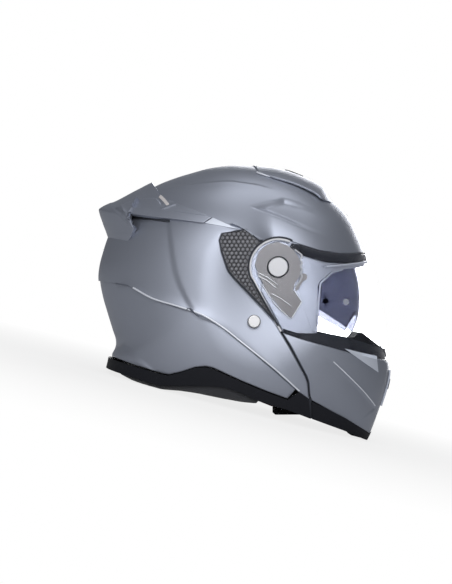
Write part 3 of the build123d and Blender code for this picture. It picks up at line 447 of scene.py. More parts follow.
def finish(name, colour, roughness, metallic=0.0, scale=900.0, patches=14.0, fine=0.12, broad=0.06, bump=0.05,
           distance=0.0001, weave=0.0, specular=0.5, sheen=0.0):
    """A material of colour * (1 + fine * fine noise + broad * broad noise), with the fine noise as bump.

    Where a weave is given, its height takes the place of the fine noise. Noise runs from 0 to 1 about a
    half, and a weave's height about a quarter.
    """
    material = bpy.data.materials.new(name)
    material.use_nodes = True
    tree = material.node_tree
    shader = set_sockets(tree.nodes["Principled BSDF"], Metallic=metallic, Specular_IOR_Level=specular,
                         Sheen_Weight=sheen, Sheen_Roughness=0.5)
    effect = add_group(tree, grain_group, Scale=scale, Patches=patches)
    height, level, strength = effect.outputs["Fine"], 0.5, 2 * fine
    if weave:
        height, level, strength = add_group(tree, weave_group, Pitch=weave).outputs["Height"], 0.25, 3 * fine
    fine_part = maths(tree, "MULTIPLY", maths(tree, "SUBTRACT", height, level), strength)
    broad_part = maths(tree, "MULTIPLY", maths(tree, "SUBTRACT", effect.outputs["Broad"], 0.5), 2 * broad)
    total = maths(tree, "ADD", maths(tree, "ADD", fine_part, broad_part), 1.0)
    tint = tree.nodes.new("ShaderNodeMix")
    tint.data_type = "RGBA"
    tint.blend_type = "MULTIPLY"
    set_sockets(tint, Factor=1.0, A=(*colour, 1))
    tree.links.new(total, tint.inputs["B"])
    tree.links.new(tint.outputs["Result"], shader.inputs["Base Color"])
    swing = maths(tree, "ADD", maths(tree, "MULTIPLY", broad_part, 2.0), 1.0)
    tree.links.new(maths(tree, "MULTIPLY", swing, roughness), shader.inputs["Roughness"])
    relief = add_node(tree, "ShaderNodeBump", Strength=bump, Distance=distance)
    tree.links.new(height, relief.inputs["Height"])
    tree.links.new(relief.outputs["Normal"], shader.inputs["Normal"])
    looks[name] = material
    return tree, shader, tint


def glass(name, colour, roughness, shade):
    """Clear plastic. Shadow rays pass as through tinted film, so what lies behind is lit as in life."""
    tree, shader, _ = finish(name, colour, roughness, fine=0.03, broad=0.0, bump=0.0, specular=0.06)
    set_sockets(shader, Transmission_Weight=1.0, IOR=1.08)
    film = add_node(tree, "ShaderNodeBsdfTransparent", Color=(*shade, 1))
    path = tree.nodes.new("ShaderNodeLightPath")
    either = maths(tree, "MAXIMUM", path.outputs["Is Shadow Ray"], path.outputs["Is Diffuse Ray"])
    mixed(tree, either, shader, film, tree.nodes["Material Output"])


def shade_by_height(tree, tint, dark, bright):
    """Colour by the attribute rise: painted shade in the valleys, a painted highlight on the domes."""
    rise = tree.nodes.new("ShaderNodeAttribute")
    rise.attribute_name = "rise"
    pick = tree.nodes.new("ShaderNodeMix")
    pick.data_type = "RGBA"
    set_sockets(pick, A=(*dark, 1), B=(*bright, 1))
    tree.links.new(rise.outputs["Fac"], pick.inputs["Factor"])
    tree.links.new(pick.outputs["Result"], tint.inputs["A"])


def srgb(red, green, blue):
    """Written colour, 0 to 255, to linear light."""
    value = np.array([red, green, blue]) / 255
    return tuple(np.where(value <= 0.04045, value / 12.92, ((value + 0.055) / 1.055) ** 2.4).tolist())


# %% [markdown]
# The paint is a satin metallic blue-grey. The trims are fine matt black mouldings, the lining is a
# brushed knit, and the small hardware is bright.

# %% Finishes
flake = {"scale": 2600, "broad": 0.03, "bump": 0.03, "distance": 0.00004}
finish("paint", srgb(158, 163, 176), 0.46, metallic=0.8, fine=0.06, specular=0.3, **flake)
# A lighter copy of the paint, for the painted highlight along the creases and the brow.
finish("paint_highlight", srgb(228, 232, 241), 0.4, metallic=0.3, fine=0.05, **flake)
# A lighter copy of the paint, for painted light on the facets that face the lamps.
finish("paint_lit", srgb(214, 220, 233), 0.46, metallic=0.45, fine=0.06, **flake)
finish("black_plastic", srgb(33, 34, 39), 0.55, scale=1500, fine=0.25, bump=0.25, distance=0.00008,
       specular=0.08)
# The grille black is coloured by dome height: painted shade in the valleys, painted highlight on the domes.
scales = finish("grille_black", srgb(44, 45, 49), 0.3, scale=1200, fine=0.2, bump=0.1, distance=0.00008)
shade_by_height(scales[0], scales[2], srgb(14, 14, 16), srgb(120, 121, 128))
finish("plate_grey", srgb(196, 192, 192), 0.4, scale=1500, fine=0.05, bump=0.06)
finish("steel", srgb(170, 172, 176), 0.32, metallic=1.0, scale=2200, bump=0.08)
finish("white_plastic", srgb(222, 223, 228), 0.4, scale=1600, fine=0.04, bump=0.04)
finish("chrome", srgb(176, 176, 178), 0.25, metallic=0.6, fine=0.02, bump=0.01)
glass("clear_glass", (0.96, 0.965, 0.985), 0.02, (0.62, 0.63, 0.65))
glass("tinted_glass", (0.1, 0.105, 0.135), 0.03, (0.25, 0.27, 0.34))
finish("rubber", srgb(60, 62, 69), 0.62, scale=1400, fine=0.2, bump=0.15, specular=0.12)
finish("foam", srgb(44, 45, 49), 0.85, scale=420, fine=0.35, bump=0.5, distance=0.0004)
finish("lining", srgb(52, 53, 58), 0.9, fine=0.5, bump=0.5, distance=0.0003, weave=900.0, sheen=0.4)
finish("webbing", srgb(28, 28, 31), 0.8, scale=700, fine=0.6, bump=0.7, distance=0.0003, weave=520.0)
finish("red_ribbon", srgb(176, 28, 38), 0.75, scale=800, fine=0.4, bump=0.5, distance=0.0002, weave=900.0,
       sheen=0.2)
slot_of = {row["node"]: row["material_slot"] for row in frame["record"]["subparts"]}
for name, thing in nodes.items():
    thing.data.materials.clear()
    thing.data.materials.append(looks[slot_of[name]])
print("finishes", len(looks), "on", len(slot_of), "nodes")

# %% [markdown]
# A painted panel is a plate with rolled edges. It is laid out as a patch between four edge lines on the
# flat map of its skin, so that its rows run along its own edges. A box-modelled panel would need loops
# cut by hand along every crease. Here creases and dished areas are heights added along the normal,
# looked up from where each point is seen in the side view.

# %% Lines
def along_points(pixels, parts):
    """Shares of the way, in whole points: 0, 1 / parts, 2 / parts and so on to the last point."""
    return np.arange(0, len(pixels) - 1 + tiny, 1 / parts)


def resample(line, shares):
    """Points at shares of a polyline's length."""
    line, shares = np.asarray(line, float), np.asarray(shares)
    steps = np.concatenate([[0], np.cumsum(np.hypot(*np.diff(line, axis=0).T))])
    return np.stack([np.interp(shares * steps[-1], steps, line[:, axis]) for axis in range(2)], -1)


def dense(pixels, parts=12):
    """The same polyline with more points on each run."""
    pixels = np.asarray(pixels, float)
    spots = along_points(pixels, parts)
    return np.stack([np.interp(spots, np.arange(len(pixels)), pixels[:, axis]) for axis in range(2)], -1)


def smooth(pixels, parts=12):
    """A curve through the points: cubic Hermite with half the chord between neighbours as slope."""
    pixels = np.asarray(pixels, float)
    slopes = np.gradient(pixels, axis=0)
    spots = along_points(pixels, parts)
    before = np.minimum(spots.astype(int), len(pixels) - 2)
    after = before + 1
    return hermite((spots - before)[:, None], pixels[before], pixels[after], slopes[before], slopes[after])


def ring(middle, radius, count=49, start=0.0, end=360.0):
    """Points on a circle, as seen."""
    turn = np.radians(np.linspace(start, end, count))
    return np.stack([middle[0] + radius * np.cos(turn), middle[1] - radius * np.sin(turn)], -1)


def joined(*lines):
    """Several lines as one."""
    return np.concatenate(lines)


def side_edge(skin, pixels, curve=dense):
    """An edge line on the near side, from pixels to the flat map."""
    return skin.flatten(near(curve(pixels)))


def between_rims(skin, start, end, count=200):
    """Edge line on the centre plane from one pixel's angle to another's, the short way round."""
    turns = [math.atan2(*at_depth(spot)[::-1]) for spot in (start, end)]
    turns[1] += 2 * math.pi * round((turns[0] - turns[1]) / (2 * math.pi))
    turn = np.linspace(turns[0], turns[1], count)
    return (rim_lean + ear_lean) * np.stack([np.cos(turn), np.sin(turn)], -1)


# %% Patches
def shares(count, fine=0.012):
    """count cells with four narrow ones at each end, for the rolled edge. count is a multiple of four."""
    narrow = fine * np.array([0, 0.12, 0.3, 0.6])
    return np.concatenate([narrow, np.linspace(fine, 1 - fine, count - 7), 1 - narrow[::-1]])


def ruled(bottom, top, across, along):
    """Straight blend between two edge lines that share their ends."""
    low, high = resample(bottom, across)[:, None], resample(top, across)[:, None]
    part = np.asarray(along)[None, :, None]
    return (1 - part) * low + part * high


def patch(bottom, top, left, right, across, along):
    """Coons patch: the blend of opposite edges, added, less the blend of the corners."""
    low, high = resample(bottom, across)[:, None], resample(top, across)[:, None]
    start, end = resample(left, along)[None], resample(right, along)[None]
    u, v = np.asarray(across)[:, None, None], np.asarray(along)[None, :, None]
    return ((1 - v) * low + v * high + (1 - u) * start + u * end
            - (1 - u) * ((1 - v) * low[0] + v * high[0]) - u * ((1 - v) * low[-1] + v * high[-1]))


print("narrow shares at each end", shares(8))

# %% [markdown]
# The inner face of a plate is coarse, because nothing looks at it, and the rim joins the two. A plate
# that reaches the centre plane is mirrored and merged there, so no seam shows.

# %% Plates
on_plane = 1e-4
weld_steps = 1e7
coarse = 4
least_area = 1e-12
sharp_angle = math.radians(50)
helmet_middle = pivot - [0.02, 0, 0.02]


def grid_normals(points):
    """Unit cross product of the two grid directions."""
    normal = np.cross(np.gradient(points, axis=0), np.gradient(points, axis=1))
    return normal / np.maximum(np.linalg.norm(normal, axis=-1, keepdims=True), least_area)


def looks_out(points, normal, middle):
    """Whether the normals point away from a place, taken all together."""
    return np.mean(np.sum(normal * (points - middle), -1)) > 0


def border_distance(points, skip):
    """Distance to the nearest free edge, along the grid lines. An edge on the centre plane isn't free."""
    far = np.full(points.shape[:2], 1.0)
    for edge, axis, flip in (("left", 0, False), ("right", 0, True), ("bottom", 1, False), ("top", 1, True)):
        if edge in skip:
            continue
        ordered = np.flip(points, axis) if flip else points
        steps = np.linalg.norm(np.diff(ordered, axis=axis), axis=-1)
        total = np.cumsum(steps, axis=axis)
        total = np.concatenate([np.zeros_like(np.take(total, [0], axis)), total], axis=axis)
        total = total + (np.abs(np.take(ordered, [0], axis)[..., 1]) < on_plane)
        far = np.minimum(far, np.flip(total, axis) if flip else total)
    return far


def welded(places, faces):
    """Points that lie on one another made one, and the faces that shrink to a line left out."""
    spots = np.round(places * weld_steps).astype(np.int64)
    _, first, kept = np.unique(spots, axis=0, return_index=True, return_inverse=True)
    kept = kept.ravel().tolist()
    shorter = []
    for face in faces:
        face = [kept[index] for index in face]
        face = [index for index, before in zip(face, face[-1:] + face[:-1]) if index != before]
        if len(face) > 2:
            shorter.append(face)
    return places[first], shorter


def quads(index, turned):
    """All the cells of a grid of point numbers."""
    cells = np.stack([index[:-1, :-1], index[1:, :-1], index[1:, 1:], index[:-1, 1:]], -1).reshape(-1, 4)
    return (cells[:, ::-1] if turned else cells).tolist()


def rim_faces(outer, inner, seam, skip):
    """Faces that join the outer grid's edges to the coarser inner grid's, none on the centre plane."""
    faces = []
    for side, at, turned in (("bottom", (slice(None), 0), False), ("top", (slice(None), -1), True),
                             ("left", (0, slice(None)), True), ("right", (-1, slice(None)), False)):
        if side in skip:
            continue
        line, below, on_seam = outer[at], inner[at], seam[at]
        for step in range(len(below) - 1):
            run = slice(coarse * step, coarse * (step + 1) + 1)
            if on_seam[run].all():
                continue
            face = [below[step], below[step + 1]] + line[run][::-1].tolist()
            faces.append(face[::-1] if turned else face)
    return faces


def plate(name, points, wall, edge, material, skip=()):
    """Closed plate from a grid of outer points, mirrored to the far side.

    Its edges are rolled off by a quarter circle: down by edge - sqrt(edge ** 2 - (edge - distance) ** 2).
    Its inner face lies a wall further in. skip names sides that have shrunk to a point.
    """
    normal = grid_normals(points)
    if not looks_out(points, normal, helmet_middle):
        points, normal = points[::-1], -normal[::-1]
        swapped = {"left": "right", "right": "left"}
        skip = [swapped.get(side, side) for side in skip]
    seam = np.abs(points[..., 1]) < on_plane
    inner = points - normal * wall
    gap = np.clip(border_distance(points, skip), 0, edge)
    points = points - normal * (edge - np.sqrt(np.maximum(edge**2 - (edge - gap)**2, 0)))[..., None]
    for grid in (points, inner):
        grid[..., 1] = np.where(seam, 0, grid[..., 1])
    inner = inner[::coarse, ::coarse]
    outer_index = np.arange(points[..., 0].size).reshape(points.shape[:2])
    inner_index = outer_index.size + np.arange(inner[..., 0].size).reshape(inner.shape[:2])
    faces = quads(outer_index, False) + quads(inner_index, True)
    faces += rim_faces(outer_index, inner_index, seam, skip)
    places = np.concatenate([points.reshape(-1, 3), inner.reshape(-1, 3)])
    faces += [[index + len(places) for index in face[::-1]] for face in faces]
    places = np.concatenate([places, places * [1, -1, 1]])
    thing = mesh_object(name, *welded(places, faces), material)
    thing.data.shade_smooth()
    thing.data.set_sharp_from_angle(angle=sharp_angle)
    print(name, len(thing.data.polygons), "faces")
    return thing


def row_points(skin, flat, inset=0.0, lift=None):
    """Near-side points in the shared frame. lift gives a height in metres from the pixel of each point."""
    place = skin.at(flat, inset)
    points = to_row(place[..., 0], -place[..., 1], place[..., 2])
    if lift is None:
        return points
    normal = grid_normals(points)
    if not looks_out(points, normal, pivot):
        normal = -normal
    raised = points + normal * lift(to_pixels(place[..., [0, 2]], place[..., 1]))[..., None]
    raised[..., 1] = np.where(place[..., 1] < on_plane, 0, raised[..., 1])
    return raised


def settle(piece, body, slot, *swapped):
    """Say which body a piece moves with, and hide the CAD nodes that it stands for. The slot is not used."""
    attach(piece, body)
    if swapped:
        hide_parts(*swapped)
    return piece


print("edges turn sharp past", round(math.degrees(sharp_angle)), "degrees")

# %% [markdown]
# Heights are written as functions of the side view. Three shapes do nearly all the work: a shelf that
# rises beside a line and fades away from it, a rounded ridge on a line, and an area let in with walls.

# %% Heights in the side view
def measure(seen, line):
    """Signed distance in pixels to a polyline, and the share of its length at the nearest point.

    Above the line on the page is positive for a line drawn left to right.
    """
    line = np.asarray(line, float)
    start, run = line[:-1], np.diff(line, axis=0)
    length = np.maximum(np.hypot(*run.T), tiny)
    before = np.concatenate([[0], np.cumsum(length)])
    away = seen[..., None, :] - start
    part = np.clip(np.sum(away * run, -1) / length**2, 0, 1)
    gap = away - part[..., None] * run
    distance = np.hypot(gap[..., 0], gap[..., 1])
    nearest = np.argmin(distance, -1)[..., None]
    side = np.sign(run[:, 0] * away[..., 1] - run[:, 1] * away[..., 0])

    def pick(grid):
        """The value at the nearest run."""
        return np.take_along_axis(grid, nearest, -1)[..., 0]
    return -pick(distance) * pick(side), (pick(part * length) + before[nearest[..., 0]]) / before[-1]


def inside(seen, outline):
    """Distance in pixels to an outline, positive inside it: the winding is found by crossings."""
    outline = np.asarray(outline, float)
    closed = np.concatenate([outline, outline[:1]])
    distance, _ = measure(seen, closed)
    (x1, y1), (x2, y2) = closed[:-1].T, closed[1:].T
    x, y = seen[..., 0, None], seen[..., 1, None]
    crossing = ((y1 > y) != (y2 > y)) & (x < x1 + (y - y1) * (x2 - x1) / (y2 - y1 + tiny))
    return np.where(crossing.sum(-1) % 2 == 1, 1, -1) * np.abs(distance)


def ends(share, start, end):
    """1 along a line and eased to 0 at its ends."""
    return ease(share / start) * ease((1 - share) / end)


def shelf(gap, lead, rise, fade):
    """Rises over a width from a lead before the line, then falls away: ease * exp(-gap / fade)."""
    return ease((gap + lead) / rise) * np.exp(-np.maximum(gap, 0) / fade)


def ridge(gap, width):
    """A rounded ridge: exp(-(distance / width) ** 2)."""
    return np.exp(-(gap / width)**2)


def even(height):
    """A lift that is the same everywhere."""
    def lift(seen):
        """The height at every point."""
        return np.full(seen.shape[:-1], height)
    return lift


print("height helpers ready")

# %% [markdown]
# The outer shell is one moulding, but the eye reads two panels: the upper one stands proud of the lower
# one along a crease that sweeps from the back to the jaw. Made as two plates, the crease is a true
# rolled edge that catches a line of light, with a real step under it for the shadow.

# %% Edge lines of the shell
crease_pixels = [
    (96, 280.6), (100, 281), (128, 285), (153, 299), (173.8, 305.7), (194.5, 312.3), (206.9, 318.1),
    (224.4, 329.7), (241.5, 343.2), (274.6, 369.8), (299.5, 392.1), (302, 393.6), (309.2, 399),
]
parting_pixels = [(309.2, 399), (308, 383.4), (305.6, 377), (289.6, 347), (280.6, 331.4), (275.2, 321.6)]
grille_rim_pixels = [
    (275.2, 321.6), (262, 306), (233, 276), (229, 271), (222, 252), (219.5, 240), (222, 233), (246, 229.5),
    (260, 240.6), (281, 239.3),
]
brow_pixels = [
    (281, 239.3), (289, 240.4), (300, 244.2), (320, 250.5), (340, 253.5), (352, 253.6), (366, 252.6),
]
rear_crease, top_seam = (97, 280.6), (150, 183)
print("crease points", len(crease_pixels))

# %% Features of the upper panel
band_line = smooth([(167, 205), (168, 218), (170, 240), (174.6, 270), (182, 290.7), (193, 311)])
upper_crease = smooth([
    (160, 190), (167, 188), (186, 185.2), (225, 181.5), (241.5, 182.8), (260, 185.7), (278, 191.5),
])
vent_line = smooth([(250, 171.4), (256.4, 172.4), (268, 176.1), (293, 182), (313.6, 191.5), (323, 198)])
dish_outline = [
    (248, 206.4), (284.6, 196.6), (301.2, 201.4), (316, 208), (345, 226), (340, 244), (307, 230.4),
    (284.6, 220.5), (256.4, 209.7),
]
wedge_outline = [(203, 224), (212, 217), (243, 229), (222, 226.8)]
band_step, crease_step, crease_bead = 0.0012, 0.0008, 0.00025
dish_depth, wedge_height, vent_step, flare_height = 0.0034, 0.0016, 0.0012, 0.0024
dish_fades, flare_starts = (286, 50), (103, 34)


def upper_lift(seen):
    """The sum of the upper panel's features, in metres."""
    gap, along = measure(seen, band_line)
    band = -band_step * shelf(-gap, lead=2.8, rise=5.6, fade=45) * ends(along, start=0.08, end=0.05)
    gap, along = measure(seen, upper_crease)
    crease = crease_bead * ridge(gap, width=1.6) - crease_step * shelf(gap, lead=0, rise=1.6, fade=10)
    crease = crease * ends(along, start=0.15, end=0.2)
    hollow = dish_depth * ease(inside(seen, dish_outline) / 6) * (
        1 - ease((seen[..., 0] - dish_fades[0]) / dish_fades[1]))
    wedge = wedge_height * ease(inside(seen, wedge_outline) / 3.5)
    gap, along = measure(seen, vent_line)
    vent = vent_step * shelf(gap, lead=1.0, rise=2.0, fade=9) * ends(along, start=0.2, end=0.1)
    gap, _ = measure(seen, crease_pixels)
    flare = flare_height * np.exp(-np.abs(gap) / 5) * ease((seen[..., 0] - flare_starts[0]) / flare_starts[1])
    return band + crease - hollow + wedge + vent + flare


# %% Upper panel
shell_wall, shell_edge = 0.0034, 0.0016
upper_flat = ruled(
    joined(side_edge(shell_skin, parting_pixels), side_edge(shell_skin, grille_rim_pixels),
           side_edge(shell_skin, brow_pixels)),
    joined(side_edge(shell_skin, crease_pixels[::-1]), between_rims(shell_skin, rear_crease, top_seam),
           between_rims(shell_skin, top_seam, brow_pixels[-1])),
    shares(320, fine=0.004), shares(104, fine=0.02),
)
upper_points = row_points(shell_skin, upper_flat, lift=upper_lift)
upper_shell = plate("shell_upper", upper_points, shell_wall, shell_edge, looks["paint"], ("left", "right"))
settle(upper_shell, "shell", "paint", "outer_shell")

# %% Lower panel
trim_top_pixels = [
    (103, 352.5), (109.9, 357.1), (135, 366.5), (161.3, 374.5), (168, 375.7), (180, 373), (194.5, 368.3),
    (205.3, 367.4), (212.4, 368.9), (241.5, 382.2), (265, 392), (287.9, 400.4),
]
crease_lap = 4
under_crease = [(96, 277)] + [(x, y - crease_lap) for x, y in crease_pixels[1:-3]] + [(299, 388)]
foot_outline = [(124, 342), (106, 352), (112, 360), (165, 378), (158, 372), (137, 353)]
lower_inset, lower_wall, lower_edge, foot_height = 0.0022, 0.002, 0.001, 0.0016


def lower_lift(seen):
    """The lit facet at the rear foot."""
    return foot_height * ease(inside(seen, foot_outline) / 7)


lower_flat = patch(
    side_edge(shell_skin, trim_top_pixels),
    side_edge(shell_skin, under_crease),
    between_rims(shell_skin, trim_top_pixels[0], under_crease[0]),
    side_edge(shell_skin, [trim_top_pixels[-1], under_crease[-1]]),
    shares(160), shares(64),
)
lower_shell = plate("shell_lower", row_points(shell_skin, lower_flat, lower_inset, lower_lift), lower_wall,
                    lower_edge, looks["paint"])
settle(lower_shell, "shell", "paint", "outer_shell")

# %% [markdown]
# The chin bar's painted skin continues the shell's, with its own rolled edge along the parting line, a crease
# that runs down to the chin, and a three-cornered facet let in beside the air intake, which is given painted
# light further on.

# %% Chin bar
chin_edge_pixels = [
    (312.3, 401), (310.6, 396.4), (309.6, 382.8), (307.2, 376.1), (291.2, 346.2), (283, 332.8),
]
chin_top_pixels = [(283, 332.8), (300, 338.2), (315, 342.2), (345, 349.2), (365, 353.6), (392, 357.4)]
chin_foot_pixels = [(312.3, 401), (345.8, 418), (356, 424.4), (372, 434)]
chin_crease = smooth([(325, 353), (333, 361.5), (345.8, 373.4), (361.8, 389.4), (371.3, 400.5), (378, 409)])
triangle_outline = [(343.5, 349), (380, 355.5), (379.6, 373)]
chin_step, chin_bead, triangle_depth, chin_edge = 0.0012, 0.0003, 0.0012, 0.0014


def chin_lift(seen):
    """The chin crease, the surface under it let back, and the three-cornered facet let in."""
    gap, along = measure(seen, chin_crease)
    crease = chin_bead * ridge(gap, width=1.8) - chin_step * shelf(-gap, lead=0, rise=2.2, fade=16)
    crease = crease * ends(along, start=0.3, end=0.02)
    return crease - triangle_depth * ease(inside(seen, triangle_outline) / 1.6)


chin_flat = patch(
    side_edge(shell_skin, chin_foot_pixels),
    side_edge(shell_skin, chin_top_pixels),
    side_edge(shell_skin, chin_edge_pixels),
    between_rims(shell_skin, (366.2, 431.4), (386.4, 357.2)),
    shares(112), shares(88),
)
chin_shell = plate("chin_skin", row_points(shell_skin, chin_flat, lift=chin_lift), shell_wall, chin_edge,
                   looks["paint"])
settle(chin_shell, "chin_bar", "paint", "chin_bar_shell")

# %% Side arms of the chin bar
arm_wall, arm_edge = 0.0022, 0.0008
arm_top = [(265, 262), (266.6, 250), (273, 242.5), (284, 241.8), (290.4, 249), (293, 258)]
arm_flat = patch(
    side_edge(shell_skin, [(290.6, 344.2), (300, 349.6), (322.6, 353.4)]),
    side_edge(shell_skin, smooth(arm_top)),
    side_edge(shell_skin, [(290.6, 344.2), (284.2, 333.2), (277.4, 320.5), (262.2, 292), (265, 262)]),
    side_edge(shell_skin, [(322.6, 353.4), (316.5, 340), (302, 300), (295, 278), (293, 258)]),
    shares(28), shares(76),
)
chin_arms = plate("chin_arms", row_points(arm_skin, arm_flat), arm_wall, arm_edge, looks["paint"])
settle(chin_arms, "chin_bar", "paint", "chin_bar_shell")

# %% [markdown]
# The foam liner keeps its moulded shape, but its outer face is drawn in a little, because the painted
# skins above follow the waist of the shell more closely than the solid does.

# %% Foam liner
merge_distance = 1e-5
liner_keep = 0.975


def vertex_values(mesh, kind="co"):
    """An array of the mesh's places or normals."""
    values = np.empty(len(mesh.vertices) * 3, np.float32)
    mesh.vertices.foreach_get(kind, values)
    return values.reshape(-1, 3)


def merged_copy(node, name):
    """A copy of a CAD node whose loose triangles share their points."""
    thing = bpy.data.objects.new(name, nodes[node].data.copy())
    scene.collection.objects.link(thing)
    work = bmesh.new()
    work.from_mesh(thing.data)
    bmesh.ops.remove_doubles(work, verts=work.verts, dist=merge_distance)
    work.to_mesh(thing.data)
    work.free()
    return thing


liner = merged_copy("impact_liner", "foam_liner")
places = vertex_values(liner.data).astype(float)
places[:, [0, 2]] = pivot[[0, 2]] + (places[:, [0, 2]] - pivot[[0, 2]]) * liner_keep
liner.data.vertices.foreach_set("co", places.astype(np.float32).ravel())
settle(liner, "shell", "foam", "impact_liner")
print("liner drawn in to", liner_keep)

# %% [markdown]
# Lips, seals, ribs and rims are narrow rolled strips that follow a drawn line on a skin. They could be
# swept tubes, but a strip laid out on the skin keeps its width as seen and its back against the skin.

# %% Strips along drawn lines
strip_wall, strip_edge, band_wall, band_edge = 0.001, 0.0004, 0.0012, 0.0005
fine_count = 160


def strip(name, skin, pixels, width, lift, body, slot, look=None, curve=dense, count=64, loop=False):
    """A rolled strip: both edges are the drawn line moved sideways by half the width, in pixels."""
    line = curve(pixels)
    run = np.gradient(line, axis=0)
    side = np.stack([-run[:, 1], run[:, 0]], -1) / np.hypot(*run.T)[:, None] * width / 2
    low, high = (skin.flatten(near(line + sign * side)) for sign in (-1, 1))
    points = row_points(skin, ruled(low, high, shares(count), shares(12, fine=0.1)), lift=even(lift))
    skip = ("left", "right") if loop else ()
    return settle(plate(name, points, strip_wall, strip_edge, looks[look or slot], skip), body, slot)


def between(name, skin, first, second, lift, body, slot, look=None, inset=0.0, wall=band_wall, skip=()):
    """A plate between two drawn lines that run the same way."""
    flat = ruled(side_edge(skin, first), side_edge(skin, second), shares(96), shares(24, fine=0.04))
    points = row_points(skin, flat, inset, even(lift))
    return settle(plate(name, points, wall, band_edge, looks[look or slot], skip), body, slot)


print("strip wall", strip_wall * 1000, "mm")

# %% [markdown]
# The wing at the back stands off the shell: a thin blade that ends in a rolled edge, a deck stepped
# down behind it, and two fins that run down to the tail. Its skin is the shell's with the tail pulled out.

# %% Rear spoiler
wing_tail = [
    (172, 177.5), (153, 182.3), (136.8, 190), (117.9, 200), (99.6, 209), (99.4, 213), (103, 224),
    (107.4, 238),
]
wing_profile_pixels = [
    spot for spot in shell_profile_pixels if not (spot[0] < 174 and spot[1] < 240)] + wing_tail
wing_skin = Skin(polar_profile(wing_profile_pixels), half_width, temples=True)
blade_outline = [
    (112, 206.6), (120, 207), (157.2, 208.9), (168.4, 210.5), (205.8, 215.4), (213, 217.6), (203.2, 224),
    (168.9, 220), (128.3, 215.5),
]
ledge_line = dense([(114, 210), (120.7, 206.2), (130, 201.8), (140.7, 198.6), (156, 199), (161, 206)])
facet_line = dense([(158, 210.5), (176, 203.5), (212, 216.4)])
fins = [(0.0013, [(119.5, 204), (133.5, 228.5)]), (0.0008, [(110, 207), (131.5, 228)])]
blade_height, deck_step, facet_height, tail_depth = 0.0012, 0.0013, 0.0008, 0.0022
tail_starts, tail_run = 234, 9


def wing_lift(seen):
    """Blade proud, deck let down behind its ledge, fins as fine ridges, tail sunk into the shell."""
    blade = blade_height * ease((inside(seen, blade_outline) + 0.4) / 1.2)
    gap, along = measure(seen, ledge_line)
    deck = deck_step * shelf(gap, lead=0, rise=1.4, fade=9) * ends(along, start=0.05, end=0.05)
    gap, along = measure(seen, facet_line)
    total = blade - deck + facet_height * ridge(gap, width=1.2) * ends(along, start=0.1, end=0.1)
    for height, line in fins:
        gap, along = measure(seen, dense(line))
        total = total + height * ridge(gap, width=1.3) * ends(along, start=0.05, end=0.05)
    return total - tail_depth * ease((seen[..., 1] - tail_starts) / tail_run)


wing_wall, wing_edge = 0.005, 0.0011
wing_start, wing_end = (103.6, 250), (212, 217.6)
wing_foot = [
    (112, 249), (122, 245), (130, 238), (133.8, 228.4), (128.6, 214.6), (168.9, 218.9), (203.2, 223.4),
    wing_end,
]
wing_head = [(156, 189), (159, 195), (176.4, 203), (196, 210.5), wing_end]
wing_flat = ruled(
    joined(between_rims(wing_skin, wing_start, (103.7, 249.6), 2), side_edge(wing_skin, wing_foot)),
    joined(between_rims(wing_skin, wing_start, (153, 182.3)), side_edge(wing_skin, wing_head)),
    shares(220, fine=0.004), shares(120, fine=0.01),
)
wing = plate("spoiler_wing", row_points(wing_skin, wing_flat, lift=wing_lift), wing_wall, wing_edge,
             looks["paint"], ("left", "right"))
settle(wing, "shell", "paint", "rear_spoiler")
# A pale grey strip in the slot under the wing is painted light: it stands for the white backdrop seen through
# the gap.
strip("spoiler_gap", wing_skin, [(159.4, 196.4), (163, 199.6), (168, 205.4)],
      3.4, 0.0002, "shell", "plate_grey", curve=smooth)
strip("spoiler_shadow", shell_skin, [(126, 217), (150, 218.2), (169, 220.6), (204, 225), (211, 219.6)],
      3.4, -0.0002, "shell", "rubber")

# %% [markdown]
# Each side panel behind the visor is moulded as a net of small six-sided domes. The domes are real heights,
# and their height is also kept as an attribute that colours them: painted shade in the valleys and a painted
# highlight on the domes.

# %% Side grilles
grille_edge = [
    (262, 243.5), (246, 229.5), (222, 233), (219.5, 240), (222, 252), (229, 271), (233, 276), (262, 306),
    (274.4, 320.4),
]
grille_back = joined([(262, 243.5)], ring(hub, 30.6, 15, 126, 205), [(272.4, 318.4), (274.4, 320.4)])
grille_outline = joined(grille_edge, grille_back[::-1])
cell_pitch, dome_share, valley_power = 4.5, 0.88, 0.7
dome_height, rim_height, rim_reach = 0.0011, 0.0007, 9
domes_start, domes_run, rim_width = 1.6, 1.2, 0.8
grille_wall, grille_roll = 0.0022, 0.0005
root = math.sqrt(3) / 2


def scale_height(seen):
    """Height of a six-sided dome: 1 in the middle of a cell of a staggered net, 0 in the valleys."""
    row_step = cell_pitch * root
    best = np.full(seen.shape[:-1], np.inf)
    row = np.round(seen[..., 1] / row_step)
    for near_row in (-1, 0, 1):
        line = row + near_row
        shift = (line % 2) / 2 * cell_pitch
        column = np.round((seen[..., 0] - shift) / cell_pitch)
        across = np.abs(seen[..., 0] - shift - column * cell_pitch)
        down = np.abs(seen[..., 1] - line * row_step)
        best = np.minimum(best, np.maximum(across, across / 2 + down * root) / (cell_pitch / 2))
    return np.sqrt(np.clip(1 - (best / dome_share)**2, 0, 1))


def grille_lift(seen):
    """Domes inside a plain rim."""
    gap = np.minimum(inside(seen, grille_outline), rim_reach)
    domes = dome_height * scale_height(seen) * ease((gap - domes_start) / domes_run)
    return domes + rim_height * (1 - ease((gap - rim_width) / rim_width))


grille_flat = ruled(side_edge(grille_skin, grille_edge), side_edge(grille_skin, grille_back),
                    shares(300, fine=0.004), shares(140, fine=0.01))
grille_points = row_points(grille_skin, grille_flat, lift=grille_lift)
grille = plate("grille_scales", grille_points, grille_wall, grille_roll, looks["grille_black"],
               ("left", "right"))
places = vertex_values(grille.data) - pivot
c, s = math.cos(standing_tip), math.sin(standing_tip)
side_view = np.stack([places[:, 0] * c + places[:, 2] * s, places[:, 2] * c - places[:, 0] * s], -1)
rise = scale_height(to_pixels(side_view, np.abs(places[:, 1])))**valley_power
grille.data.attributes.new("rise", "FLOAT", "POINT").data.foreach_set("value", rise.astype(np.float32))
settle(grille, "shell", "grille_black", "side_grille_right", "side_grille_left")
